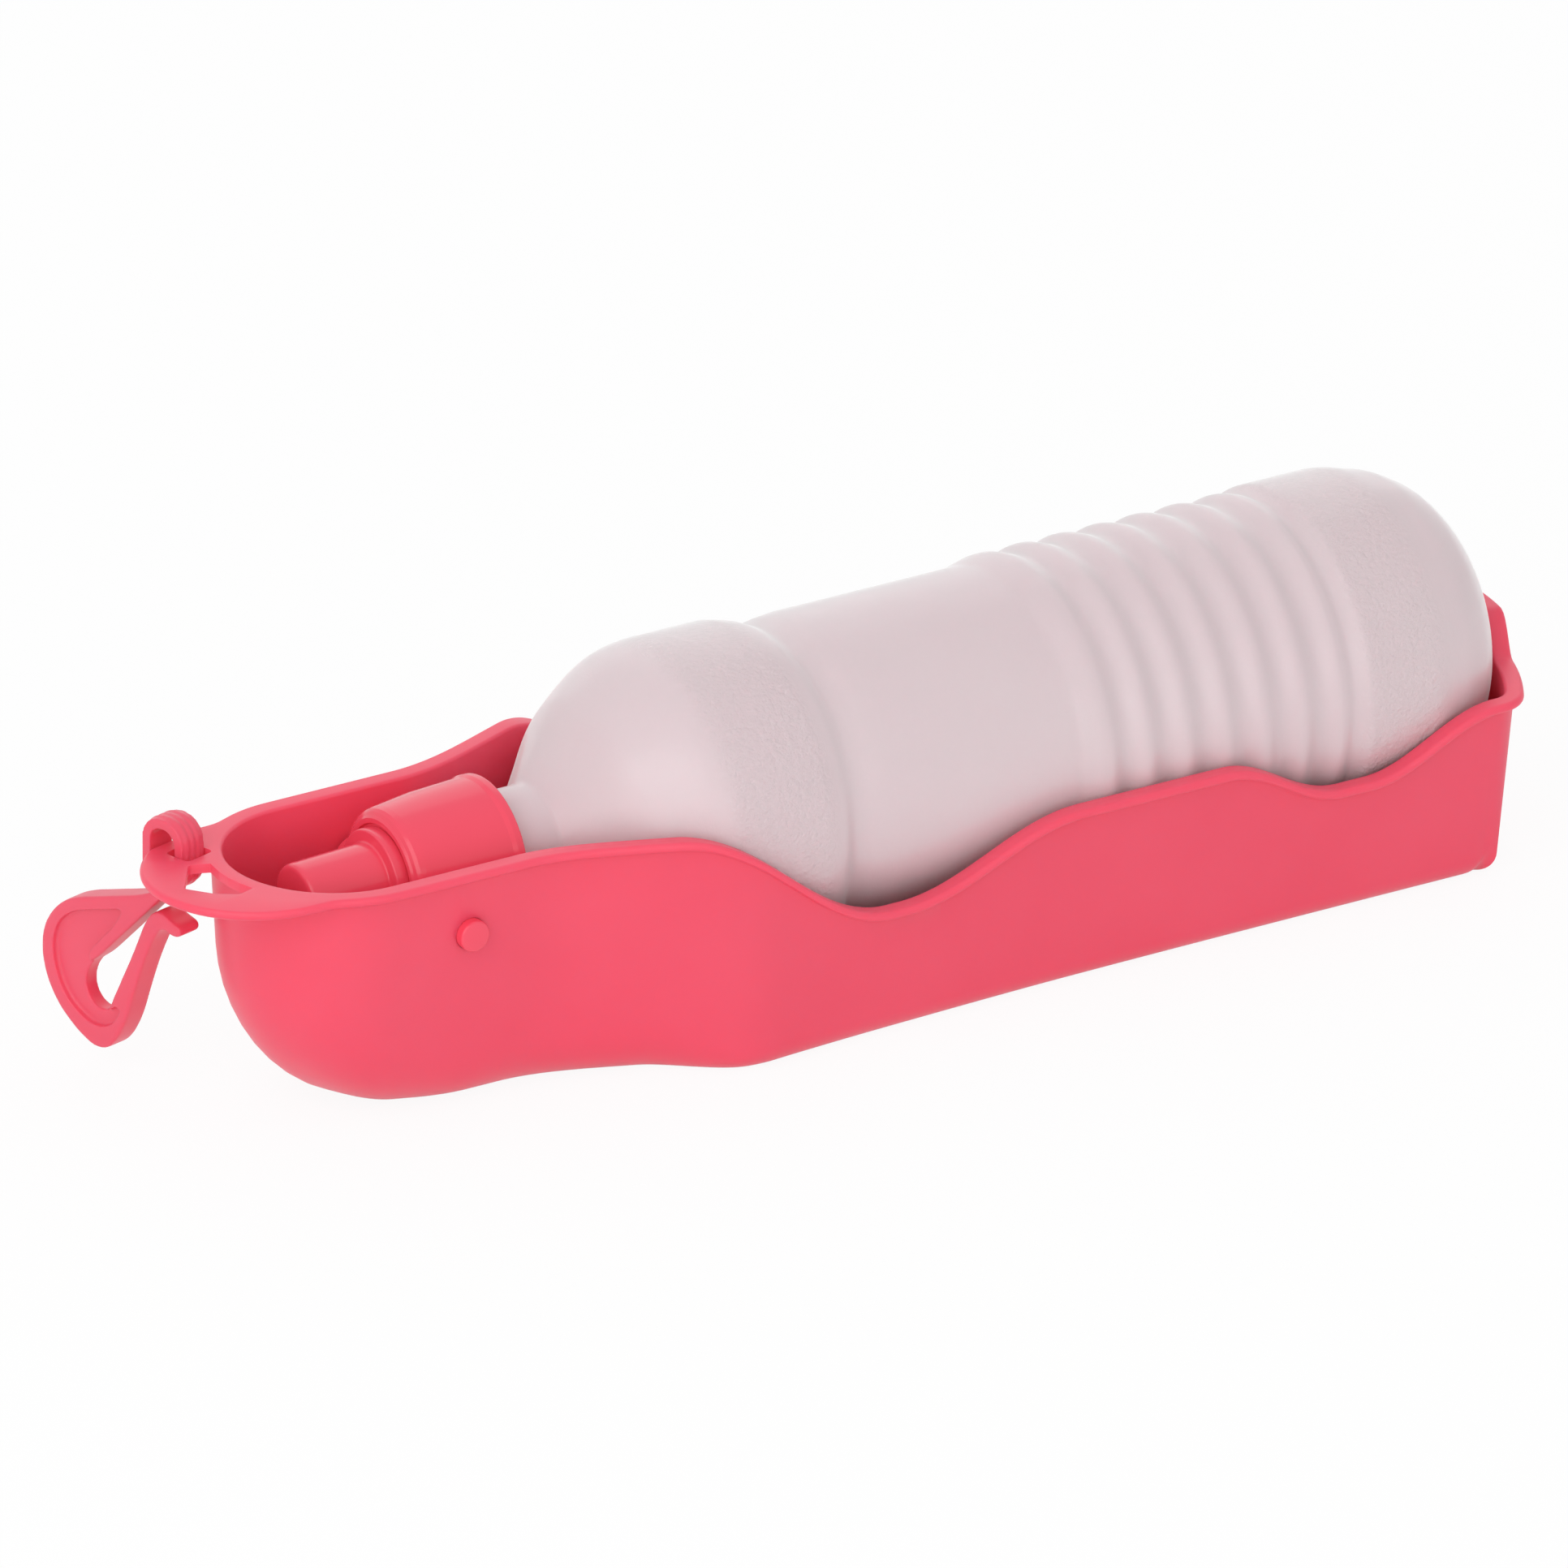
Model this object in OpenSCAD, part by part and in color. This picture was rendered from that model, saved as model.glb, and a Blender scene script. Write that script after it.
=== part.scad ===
// Dog travel water bottle: a squeeze bottle that folds down into its own
// drinking trough. Millimetres, +Z up, tray standing on z = 0, nose toward -X.

/* [Bottle] */
// height of the bottle's axis above the base
axis_z = 39.8; // [39.4:0.1:40.6]
// radius of the two full-size bands of the bottle
bottle_r = 32.1; // [31.4:0.1:32.2]
// how far the smooth grip panel is sunk in from the bands
panel_in = 1.8; // [1:0.1:2.6]
// how far the crests of the grip rings are sunk in from the bands
crest_in = 0.5; // [0:0.1:1]
// depth of the grooves between the grip rings
groove_d = 1.6; // [0.8:0.1:2.2]
// spacing of the grip rings
ring_pitch = 8.4; // [8:0.1:8.6]
// thickness of the blow-moulded bottle wall
bottle_t = 1.2; // [0.8:0.1:1.8]
// radius of the neck
neck_r = 11.1; // [10.8:0.05:11.2]
// length of the front band
band_l = 17.8; // [16:0.2:20]
// length of the smooth panel
panel_l = 44.5; // [42:0.5:46]
// length behind the grip rings, with the rear band and the base
rear_l = 40.7; // [38:0.1:42]

/* [Cap and spout] */
// radius of the cap skirt at its open end
skirt_r = 15.05; // [14.8:0.05:15.6]
// radius of the cap at its front shoulder
shoulder_r = 13.2; // [13:0.05:13.6]
// radius of the pull spout where it meets its ring
spout_r = 7.6; // [7.2:0.1:8]
// how far the spout's finger ring stands inside the cap's shoulder
ring_step = 3.1; // [2.8:0.1:3.6]
// length of the spout in front of its ring
spout_l = 16.2; // [15.4:0.1:16.6]
// radius of the pivot pins
pin_r = 3.05; // [2.8:0.05:3.3]
// where the pivot sits along the bottle
pivot_x = 4; // [3.5:0.1:4.5]
// how far the pivot sits under the bottle's axis
pivot_drop = 3.75; // [3.3:0.05:4.2]

/* [Tray] */
// half width of the nose wall at the rim
nose_w = 22.5; // [22.2:0.1:23]
// wall thickness
wall = 2.3; // [2.1:0.05:2.4]
// floor thickness
floor_t = 2.4; // [1.8:0.1:3]
// how far the rim lip stands out
lip_out = 1.8; // [1.4:0.1:2.2]
// thickness of the rim lip
lip_t = 1.8; // [1.5:0.1:2.2]
// height of the high rim round the nose
rim_nose = 48.8; // [48.4:0.1:49.2]
// height of the first dip of the rim
rim_dip1 = 26.3; // [25.5:0.1:27.5]
// height of the rim along the middle of the trough
rim_mid = 37.6; // [37:0.1:38.2]
// height of the second dip of the rim
rim_dip2 = 28.5; // [27.5:0.1:29.5]
// top of the tab on the end wall
tab_z = 44.1; // [42:0.1:45]

/* [Hanging clip] */
// width of the clip, across its flat side
clip_w = 5.5; // [5:0.1:5.8]
// thickness of its strap
strap_t = 1.9; // [1.7:0.1:2.1]
// depth of the sunk panel in its face
panel_d = 1; // [0.5:0.1:1.5]

/* [Fits] */
// gap between the bottle and the trough's wall at the hips
hip_gap = 0.5; // [0.4:0.05:0.8]
// gap between the bottle and the trough's wall near the end
rear_gap = 0.2; // [0.2:0.05:0.5]
// from the bottle's base to the outside of the end wall
base_gap = 5.5; // [5.3:0.1:7]
// running gap round the pivot pins
pin_gap = 0.09; // [0.06:0.01:0.1]
// running gap of the spout on its post
spout_gap = 0.06; // [0.04:0.01:0.1]
// running gap of the neck in the cap
neck_gap = 0.06; // [0.04:0.01:0.1]

/* [Hidden] */
$fn = 96;
eps = 0.01;

RED = [0.92, 0.29, 0.39];
FROST = [0.86, 0.79, 0.82, 0.85];
SOFT = [0.93, 0.93, 0.90];

// along the bottle: neck, front band, smooth panel, first ring crest, base
neck_x = 4; shoulder_x = 30; shoulder_l = 28.6; step_l = 8.6; crest_l = 6.5; rings = 6; dome = 6;
band_x = shoulder_x + shoulder_l;
panel_x = band_x + band_l + step_l;
ring0 = panel_x + panel_l + crest_l;
ring_end = ring0 + rings * ring_pitch;
base_x = ring_end + rear_l;
ring_r = shoulder_r - ring_step;
panel_r = bottle_r - panel_in;
crest_r = bottle_r - crest_in;
base_r = bottle_r - 15.9;        // foot of the domed base
// the trough is as wide and as long as the bottle needs
hip_w = bottle_r + hip_gap + wall;
rear_w = bottle_r + rear_gap + wall;
end_x = base_x + base_gap;

function ss(t) = let (u = min(max(t, 0), 1)) u * u * (3 - 2 * u);
function co(t) = let (u = min(max(t, 0), 1)) 0.5 - 0.5 * cos(180 * u);

// ---------------------------------------------------------------- tray shape
nose_x = -12;                    // centre of the round nose
nose_tip = nose_x - nose_w;
flare0 = 15; flare1 = 60.5;      // the walls open out between these
corner_r = 6; end_R = 60;        // plan corner and bowed end wall
nose_draft = 3; hip_draft = 0.8; rear_draft = 8.2; end_draft = 4;

// the rim's wave: [from, to, height it ends at], its first dip beside the front band
// and its second one behind the grip rings
WAVE = [[band_x - 15.6, band_x + 28.4, rim_dip1], [band_x + 30.4, band_x + 68.4, rim_mid],
    [ring_end - 27.4, ring_end - 1.4, rim_dip2], [ring_end + 3.6, end_x - 15.6, rim_mid]];
function wave(x, i, z) = i == len(WAVE) || x < WAVE[i][0] ? z
    : let (w = WAVE[i]) wave(x, i + 1, z + (w[2] - z) * co((x - w[0]) / (w[1] - w[0])));
// height of the rim along the trough and across its end
function rim_z(x, y) = x < end_x - 15.6 ? wave(x, 0, rim_nose)
    : rim_mid + (tab_z - rim_mid) * co((18.5 - abs(y)) / 8);

// reference height at which the half width is given
function ref_z(x) = rim_nose + (rim_mid - rim_nose) * ss((x - 40) / 22);
function half_w(x) = nose_w + (hip_w - nose_w) * ss((x - flare0) / (flare1 - flare0))
    + (rear_w - hip_w) * ss((x - 90) / 40);
function side_draft(x) = x < 62 ? nose_draft + (hip_draft - nose_draft) * ss((x - 40) / 22)
    : rear_draft - (rear_draft - hip_draft) * exp(-(x - 62) / 45);

// corner of the plan outline at inset q
function cr(q) = max(corner_r - q, 1.6);
function ck_y(q) = rear_w - q - cr(q);
function ck_x(q) = end_x - end_R + sqrt(pow(end_R - q - cr(q), 2) - pow(ck_y(q), 2));
function ck_a(q) = asin(ck_y(q) / (end_R - q - cr(q)));

// stations round one half of the plan: [kind, value, arc travel from x = 20]
n_nose = 12; n_side = 62; n_corner = 5; n_end = 9;
STATIONS = concat(
    [for (i = [0:n_nose - 1]) [0, 90 - 90 * i / n_nose, 0]],
    [for (i = [0:n_side - 1]) [1, nose_x + (ck_x(0) - nose_x) * i / n_side, 0]],
    [for (i = [0:n_corner - 1]) [2, i / n_corner, 0]],
    [for (i = [0:n_end]) [3, 1 - i / n_end, 0]]);
NS = len(STATIONS);

function spine_x(x) = x > 15 ? x : x < -15 ? 0 : pow(x + 15, 2) / 60;
// where station s stands at inset q, for a half width hw (negative y side)
function stand(s, q) = let (k = s[0], v = s[1])
    k == 0 ? let (p = [nose_x - nose_w * sin(v), -nose_w * cos(v)],
                  n = [sin(v), cos(v)], d = -p / norm(p), m = ss(q / 8))
             p + q * ((1 - m) * n + m * d)
  : k == 1 ? let (x1 = v < 185 ? v : 185 + (v - 185) * (ck_x(q) - 185) / (ck_x(0) - 185),
                  w = half_w(v), sx = spine_x(v), d0 = [sx - v, w], d = d0 / norm(d0),
                  m = v < 15 ? ss(q / 8) : 0)
             [x1, -w] + q * ((1 - m) * [0, 1] + m * d)
  : k == 2 ? let (a = 90 + (ck_a(q) - 90) * v)
             [ck_x(q) + cr(q) * cos(a), -ck_y(q) - cr(q) * sin(a)]
  : let (a = ck_a(q) * v) [end_x - end_R + (end_R - q) * cos(a), -(end_R - q) * sin(a)];

function travel(s) = s[0] == 0 ? 20 - nose_x + nose_w * s[1] * PI / 180
    : s[0] == 1 ? 20 - s[1] : -200;
function round_t(s) = ss((travel(s) - 12) / 48);
function mid_t(s) = s[0] == 1 ? 1 - ss((s[1] - 40) / 18) : s[0] == 0 ? 1 : 0;
function fil_h(s) = 5 + 7 * mid_t(s) + 15 * pow(round_t(s), 2);
function fil_v(s) = 5 + 9 * mid_t(s) + 16 * round_t(s);
function draft(s) = s[0] == 0 ? nose_draft : s[0] == 1 ? side_draft(s[1])
    : s[0] == 2 ? rear_draft + (end_draft - rear_draft) * ss(s[1] * 0.6)
    : rear_draft + (end_draft - rear_draft) * ss(0.6 + 0.4 * (1 - s[1]));
function zref(s) = s[0] == 0 ? rim_nose : s[0] == 1 ? ref_z(s[1]) : rim_mid;

// profile of one station, outside floor -> rim -> inside floor: [inset, z]
NF = 7;
// the lip runs out where the flange takes over at the nose
function lip_k(s) = s[0] == 0 ? 1 - ss((s[1] - 12) / 20) : 1;
function wall_t(s) = s[0] < 2 ? wall : wall - 0.4 * (s[0] == 2 ? s[1] : 1);
function slope_q(s, z) = (zref(s) - z) * tan(draft(s));
function fillet(s, t, zb, cut) = let (h = max(fil_h(s) - cut, 2), v = max(fil_v(s) - cut, 2),
        zf = zb + v, a0 = atan(tan(draft(s)) * v / h), z0 = zf - v * sin(a0))
    [for (i = [0:NF]) let (a = 90 + (a0 - 90) * i / NF)
        [t + slope_q(s, z0) + h * (cos(a0) - cos(a)), zf - v * sin(a)]];
function profile(s) = let (p0 = stand(s, 0), zr = rim_z(p0[0], p0[1]), q0 = slope_q(s, zr),
        k = lip_k(s), o = lip_out * k, t = wall_t(s))
    concat(fillet(s, 0, 0, 0),
        [[q0 + slope_q(s, zr - lip_t - 0.5) - slope_q(s, zr), zr - lip_t - 0.5],
         [q0 - 0.35 * k, zr - lip_t], [q0 - o + 0.45 * k, zr - lip_t],
         [q0 - o + 0.1 * k, zr - lip_t + 0.35], [q0 - o, zr - lip_t + 0.8],
         [q0 - o + 0.15, zr - 0.3], [q0 - o + 0.6, zr], [q0 + t - 0.65, zr],
         [q0 + t - 0.2, zr - 0.15], [q0 + t, zr - 0.6]],
        [let (z = (zr + floor_t + fil_v(s)) / 2) [t + slope_q(s, z), z]],
        let (f = fillet(s, t, floor_t, floor_t * 0.8)) [for (i = [NF:-1:0]) f[i]]);
NP = 2 * (NF + 1) + 11;

function ring(s, side) = [for (p = profile(s)) let (a = stand(s, p[0]))
    [a[0], side * a[1], p[1]]];
// near half (y < 0) nose to end, then far half back to the nose
LOOP = concat([for (i = [0:NS - 1]) ring(STATIONS[i], 1)],
    [for (i = [NS - 2:-1:1]) ring(STATIONS[i], -1)]);
NL = len(LOOP);
FAN = n_nose + 8;      // stations served by the fan of the nose floor
fan_x = 8;

module trough() {
    pts = concat([for (r = LOOP) for (p = r) p], [[fan_x, 0, 0], [fan_x, 0, floor_t]]);
    b0 = NL * NP; b1 = NL * NP + 1;
    function id(i, j) = ((i + NL) % NL) * NP + j;
    skin = [for (i = [0:NL - 1]) for (j = [0:NP - 2]) each
        [[id(i, j), id(i, j + 1), id(i + 1, j + 1)], [id(i, j), id(i + 1, j + 1), id(i + 1, j)]]];
    fan = [for (i = [-FAN:FAN - 1]) each
        [[id(i, 0), id(i + 1, 0), b0], [id(i + 1, NP - 1), id(i, NP - 1), b1]]];
    shut = [[id(FAN, 0), id(-FAN, 0), b0], [id(-FAN, NP - 1), id(FAN, NP - 1), b1]];
    ladder = [for (i = [FAN:NS - 2]) each
        [[id(i, 0), id(i + 1, 0), id(-i, 0)],
         [id(i, NP - 1), id(-i, NP - 1), id(i + 1, NP - 1)],
         each i < NS - 2 ? [[id(i + 1, 0), id(-i - 1, 0), id(-i, 0)],
         [id(i + 1, NP - 1), id(-i, NP - 1), id(-i - 1, NP - 1)]] : []]];
    polyhedron(pts, concat(skin, fan, shut, ladder), convexity = 10);
}

// plan of the flat flange in front of the nose
flange_t = 1.9; flange_r = 20.8; flange_x = nose_tip + 5.5;
module flange_plan() {
    difference() {
        union() {
            translate([flange_x, 0]) circle(r = flange_r);
            for (s = [0, 1]) mirror([0, s]) polygon([[flange_x, 0], [flange_x, flange_r],
                [nose_x - 12, nose_w + 0.1], [nose_x - 7, nose_w + 1.3], [nose_x, nose_w + 1.5],
                [nose_x, 0]]);
        }
        translate([nose_x, 0]) circle(r = nose_w - 1.1);
        translate([nose_x, -30]) square([60, 60]);
        near_slot();
        far_slot();
    }
}
module near_slot() offset(r = 1, $fn = 24) offset(delta = -1) difference() {
    translate([nose_tip, 0]) polygon([[-5, 6.6], [-9, 3], [-10.9, -1.4], [-7.1, -6.4],
        [-1.5, -9.6], [4.5, -9], [4.5, 5.6], [0.5, 5.4]]);
    translate([nose_x, 0]) circle(r = nose_w + 1);
}
module far_slot() translate([nose_tip - 1.3, 12.3]) rotate(clip_turn) offset(r = 1.2, $fn = 24)
    square([5.6, 2.6], center = true);
module flange() {
    translate([0, 0, rim_nose - flange_t + 0.3]) linear_extrude(flange_t - 0.6) flange_plan();
    translate([0, 0, rim_nose - flange_t]) linear_extrude(flange_t)
        offset(delta = -0.35) flange_plan();
}

module tray() color(RED) difference() {
    union() { trough(); flange(); }
    for (s = [-1, 1]) translate([pivot_x, s * (nose_w - 5), axis_z - pivot_drop])
        rotate([-90 * s, 0, 0]) cylinder(r = pin_r + pin_gap, h = 10, $fn = 48);
}

// ---------------------------------------------------- parts round the axis
module on_axis() translate([0, 0, axis_z]) rotate([0, 90, 0]) children();

// wall radius a share f of the way from the neck to the full band
function flare_r(f) = neck_r + f * (bottle_r - neck_r);
function groove(i) = let (x = ring0 + ring_pitch * (i + 0.5), p = ring_pitch, d = groove_d)
    [[crest_r, x - p / 2], [crest_r - d * 0.22, x - p * 0.298], [crest_r - d * 0.75, x - p * 0.155],
     [crest_r - d, x], [crest_r - d * 0.75, x + p * 0.155], [crest_r - d * 0.22, x + p * 0.298]];
SHOULDER = [[0, 0], [0.029, 0.031], [0.314, 0.196], [0.586, 0.357], [0.719, 0.497],
    [0.862, 0.671], [0.938, 0.79], [0.976, 0.888], [1, 1]];
// base rounding: [in from the band, ahead of the base]
BASE = [[0, 20.7], [0.4, 18.5], [1.2, 15.1], [2.1, 11.7], [4, 8.3], [5.5, 6.1], [8.1, 3.6],
    [10.8, 1.8], [13.5, 0.6], [15.9, 0]];
BODY = concat(
    [for (s = SHOULDER) [flare_r(s[0]), shoulder_x + s[1] * shoulder_l]],
    [[bottle_r, band_x + band_l], [bottle_r - panel_in * 0.2, panel_x - step_l * 0.74],
     [panel_r + panel_in * 0.2, panel_x - step_l * 0.26], [panel_r, panel_x],
     [panel_r, panel_x + panel_l], [panel_r + 0.4, ring0 - crest_l * 0.58],
     [crest_r - 0.3, ring0 - crest_l * 0.25]],
    [for (i = [0:rings - 1]) each groove(i)],
    [[crest_r, ring_end], [crest_r - groove_d * 0.5, ring_end + 2],
     [crest_r - groove_d * 0.5, ring_end + 3], [bottle_r - 0.2, ring_end + 5],
     [bottle_r, ring_end + 6.2]],
    [for (b = BASE) [bottle_r - b[0], base_x - b[1]]]);

module bottle() color(FROST) on_axis() rotate_extrude() {
    t = bottle_t;
    polygon(concat([[neck_r - 2, neck_x], [neck_r, neck_x]], BODY,
        [[base_r * 0.74, base_x - dome * 0.1], [base_r * 0.31, base_x - dome * 0.85],
         [0, base_x - dome], [0, base_x - dome - t], [base_r * 0.32, base_x - dome * 0.85 - t],
         [base_r * 0.77, base_x - dome * 0.1 - t], [base_r, base_x - t]],
        [for (i = [len(BODY) - 2:-1:2]) [BODY[i][0] - t, BODY[i][1] + (i < 7 ? 0.6 : 0)
            - (i > len(BODY) - 9 ? (i - len(BODY) + 9) * 0.13 : 0)]],
        [[neck_r - 2, shoulder_x + t]]));
}

// faces along the axis: cap front, spout seat, inside of the cap, ring and tip of the spout
face_x = -1.9; seat_x = -1.3; top_x = 2.7; post_r = 5; plug_r = 1.9; ring_x = -4.1;
skirt_x = 20.8; throat_r = 7.4; seal_r = 7.6; way_r = 3.8;
tip_x = ring_x - spout_l;
pin_y = nose_w + 0.8;            // pins show this far out, bevel apart
collar_y = nose_w - wall - 1.4;  // collars keep the cap centred between the walls

// closure: skirt, inner post of the pull spout, two pivot pins
module cap() color(RED) difference() {
    union() {
        on_axis() rotate_extrude() polygon([[0, tip_x + 4.8], [0, top_x - 1.7], [throat_r, top_x - 1.7],
            [throat_r, top_x], [neck_r + neck_gap, top_x], [neck_r + neck_gap, skirt_x - 0.6],
            [neck_r + neck_gap + 0.6, skirt_x], [skirt_r - 0.2, skirt_x],
            [skirt_r + 0.15, skirt_x - 0.4], [skirt_r + 0.15, skirt_x - 1.5],
            [skirt_r - 0.2, skirt_x - 2.2], [shoulder_r + 0.25, 0.6],
            [shoulder_r, -0.5], [shoulder_r - 0.45, -1.1], [shoulder_r - 1.1, -1.5],
            [shoulder_r - 1.5, face_x], [ring_r + 0.6, face_x], [ring_r + 0.4, seat_x],
            [post_r, seat_x], [post_r, -8.6], [post_r + 0.35, -8.7], [post_r + 0.35, -9.3],
            [post_r, -10.2], [post_r, tip_x + 5.3], [post_r - 0.5, tip_x + 4.8]]);
        on_axis() translate([0, 0, tip_x + 0.3]) cylinder(r = plug_r, h = 5);
        for (s = [-1, 1]) translate([pivot_x, 0, axis_z - pivot_drop]) rotate([-90 * s, 0, 0]) {
            translate([0, 0, 11.5]) cylinder(r = pin_r, h = pin_y - 11.5, $fn = 48);
            translate([0, 0, pin_y - eps]) cylinder(r1 = pin_r, r2 = pin_r - 0.5, h = 0.5, $fn = 48);
            translate([0, 0, 11.5]) cylinder(r = pin_r + 1.5, h = collar_y - 11.5, $fn = 48);
        }
    }
    // water way through the post, ending in four small holes round the plug
    on_axis() translate([0, 0, tip_x + 6.1]) cylinder(r = way_r, h = top_x - tip_x - 6.1);
    for (a = [0:90:270]) on_axis() rotate(a) translate([2.9, 0, tip_x + 4.3])
        cylinder(r = 0.8, h = 3);
}

module spout() color(RED) on_axis() rotate_extrude() polygon([
    [post_r + spout_gap, seat_x], [ring_r - 0.3, seat_x], [ring_r, seat_x - 0.4],
    [ring_r, ring_x + 0.5], [ring_r - 0.5, ring_x], [spout_r + 0.5, ring_x],
    [spout_r + 0.1, ring_x - 0.4], [spout_r, ring_x - 1.2],
    [spout_r - 0.4, tip_x + 1.4], [spout_r - 0.8, tip_x + 0.5], [spout_r - 1.6, tip_x],
    [plug_r + spout_gap + 0.5, tip_x], [plug_r + spout_gap, tip_x + 0.5],
    [plug_r + spout_gap, tip_x + 3.1], [post_r + 0.6, tip_x + 4.1], [post_r + 0.6, -3.6],
    [post_r + spout_gap, -3.5]]);

module seal() color(SOFT) on_axis() translate([0, 0, top_x]) difference() {
    cylinder(r = neck_r - 0.1, h = neck_x - top_x);
    translate([0, 0, -1]) cylinder(r = seal_r, h = neck_x - top_x + 2);
}

// ------------------------------------------------------------ hanging clip
clip_turn = 15;          // the flat clip stands this far off the Y-Z plane
// drawn flat: x runs toward +Y, y runs up, and the width toward +X
clip_at = [nose_tip - 4.3, 12.8, rim_nose - 9];
module clip_frame() translate(clip_at) rotate(clip_turn) rotate([90, 0, 90]) children();
// one closed outline: stem from the strap, broad back, foot, then up the hook
CLIP_BACK = [[-2.2, 3.4], [1.6, 2.6], [4.4, 0.5], [7.2, -1.1], [13.1, -3.5], [23.1, -6.2],
    [28.1, -8.3], [31.7, -11.8], [33.3, -16.2], [33.5, -21], [32.2, -26.7], [29, -30.9],
    [24.4, -33.8], [20.8, -35.2], [18, -35.5], [15.6, -33.5], [14, -30]];
CLIP_HOOK = [[11.8, -23.2], [9.6, -17.4], [6.3, -10.9], [4.2, -8.1], [1.8, -7.2], [0.3, -7.7],
    [-0.6, -7], [0, -5.7], [1.8, -4.6], [4.2, -4.3], [6.5, -5.6], [8.3, -8.2], [12.2, -18.2]];
CLIP_EYE = [[15.9, -24.8], [16.8, -27.6], [18.6, -29.3], [21.4, -29], [23.6, -26.8],
    [24, -23.4], [22.6, -20.6]];
CLIP_STEM = [[19.3, -17.6], [11.6, -9.5], [3.9, -1.4], [0.6, 0.9], [-2.2, 1.5]];
CLIP_PANEL = [[12.6, -6.5], [27.5, -11], [30.3, -16], [30.1, -23], [27.2, -28.6],
    [21.6, -31.8], [18.6, -31.8], [23.2, -29.9], [25.6, -26.9], [25.8, -23], [24.4, -19.8],
    [22.6, -17]];
module clip_body() difference() {
    linear_extrude(clip_w) offset(r = 0.8, $fn = 24) offset(delta = -0.8)
        polygon(concat(CLIP_BACK, CLIP_HOOK, CLIP_EYE, CLIP_STEM));
    // sunk panel inside a raised border, on both faces
    for (z = [-1, clip_w - panel_d]) translate([0, 0, z]) linear_extrude(panel_d + 1)
        offset(r = 0.8, $fn = 24) offset(delta = -0.8) polygon(CLIP_PANEL);
}
// strap: up through the slot, over the flange edge and back to the stem
strap_x = 3.5; strap_y = 6.9; strap_bend = 2.6;
module strap_loop() translate([strap_x, strap_y]) difference() {
    offset(r = strap_bend + strap_t, $fn = 40) square([3.6, 2.2], center = true);
    offset(r = strap_bend, $fn = 40) square([3.6, 2.2], center = true);
}
module clip() color(RED) clip_frame() {
    clip_body();
    linear_extrude(clip_w) strap_loop();
}

tray();
bottle();
cap();
spout();
seal();
clip();
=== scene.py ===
"""Dressed model of a squeeze water bottle that folds into its own drinking trough."""

import logging
import math
from dataclasses import dataclass
from enum import Enum
from typing import List, Optional, Sequence, Tuple

import bmesh
import bpy
from mathutils import Matrix, Vector

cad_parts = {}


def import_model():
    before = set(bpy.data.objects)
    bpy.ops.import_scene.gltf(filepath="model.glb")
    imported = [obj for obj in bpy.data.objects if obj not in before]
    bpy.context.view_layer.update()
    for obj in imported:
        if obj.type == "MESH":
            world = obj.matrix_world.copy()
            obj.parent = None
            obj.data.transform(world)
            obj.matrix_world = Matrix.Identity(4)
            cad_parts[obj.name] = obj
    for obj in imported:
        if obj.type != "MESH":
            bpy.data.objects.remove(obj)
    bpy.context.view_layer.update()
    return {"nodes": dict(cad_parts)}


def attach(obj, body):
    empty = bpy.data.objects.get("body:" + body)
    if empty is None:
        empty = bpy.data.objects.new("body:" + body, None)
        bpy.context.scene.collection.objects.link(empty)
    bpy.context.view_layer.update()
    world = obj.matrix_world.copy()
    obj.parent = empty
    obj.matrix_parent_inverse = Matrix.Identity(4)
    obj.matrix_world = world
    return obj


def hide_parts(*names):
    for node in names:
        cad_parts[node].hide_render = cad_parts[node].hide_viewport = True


LOG = logging.getLogger("water_bottle")
MM = 0.001
WHITE = (1.0, 1.0, 1.0, 1.0)
Point2 = Tuple[float, float]
Point3 = Tuple[float, float, float]

# places that several pieces share, in millimetres and degrees
AXIS_Z = 39.8  # height of the folded bottle's axis
PIVOT: Point2 = (4.0, 36.05)  # x and z of the pivot pins
STRAP_PLACE: Point2 = (-38.8, 12.8)  # x and y where the clip's strap begins
STRAP_TURN = 15.0  # turn of the strap about the upright

# limits of the shape helpers
STRAIGHT = math.radians(89)  # half angle past which a corner counts as straight
FILLET_SHARE = 0.48  # largest share of an edge that one fillet takes
ON_AXIS = 1e-6  # radius below which a turned point lies on the axis
WELD = 1e-7  # distance in metres below which two points are one


# ------------------------------------------------------------------ small maths
def smooth(t: float) -> float:
    """Smooth step from 0 to 1 as t goes from 0 to 1."""
    u = min(max(t, 0.0), 1.0)
    return u * u * (3.0 - 2.0 * u)


def cosine(t: float) -> float:
    """Half a cosine wave from 0 to 1 as t goes from 0 to 1."""
    u = min(max(t, 0.0), 1.0)
    return 0.5 - 0.5 * math.cos(math.pi * u)


def passed(x: float, run: Point2) -> float:
    """Smooth step from 0 to 1 as x goes over a run."""
    return smooth((x - run[0]) / (run[1] - run[0]))


def arc(centre: Point2, radii: Point2, start: float, end: float, steps: int) -> List[Point2]:
    """Points of an ellipse arc, both ends included.

    Args:
        centre: middle of the ellipse.
        radii: its two half axes.
        start: first angle in degrees.
        end: last angle in degrees.
        steps: number of segments.

    Returns:
        The points in order.
    """
    angles = [math.radians(start + (end - start) * i / steps) for i in range(steps + 1)]
    return [(centre[0] + radii[0] * math.cos(a), centre[1] + radii[1] * math.sin(a))
            for a in angles]


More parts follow.
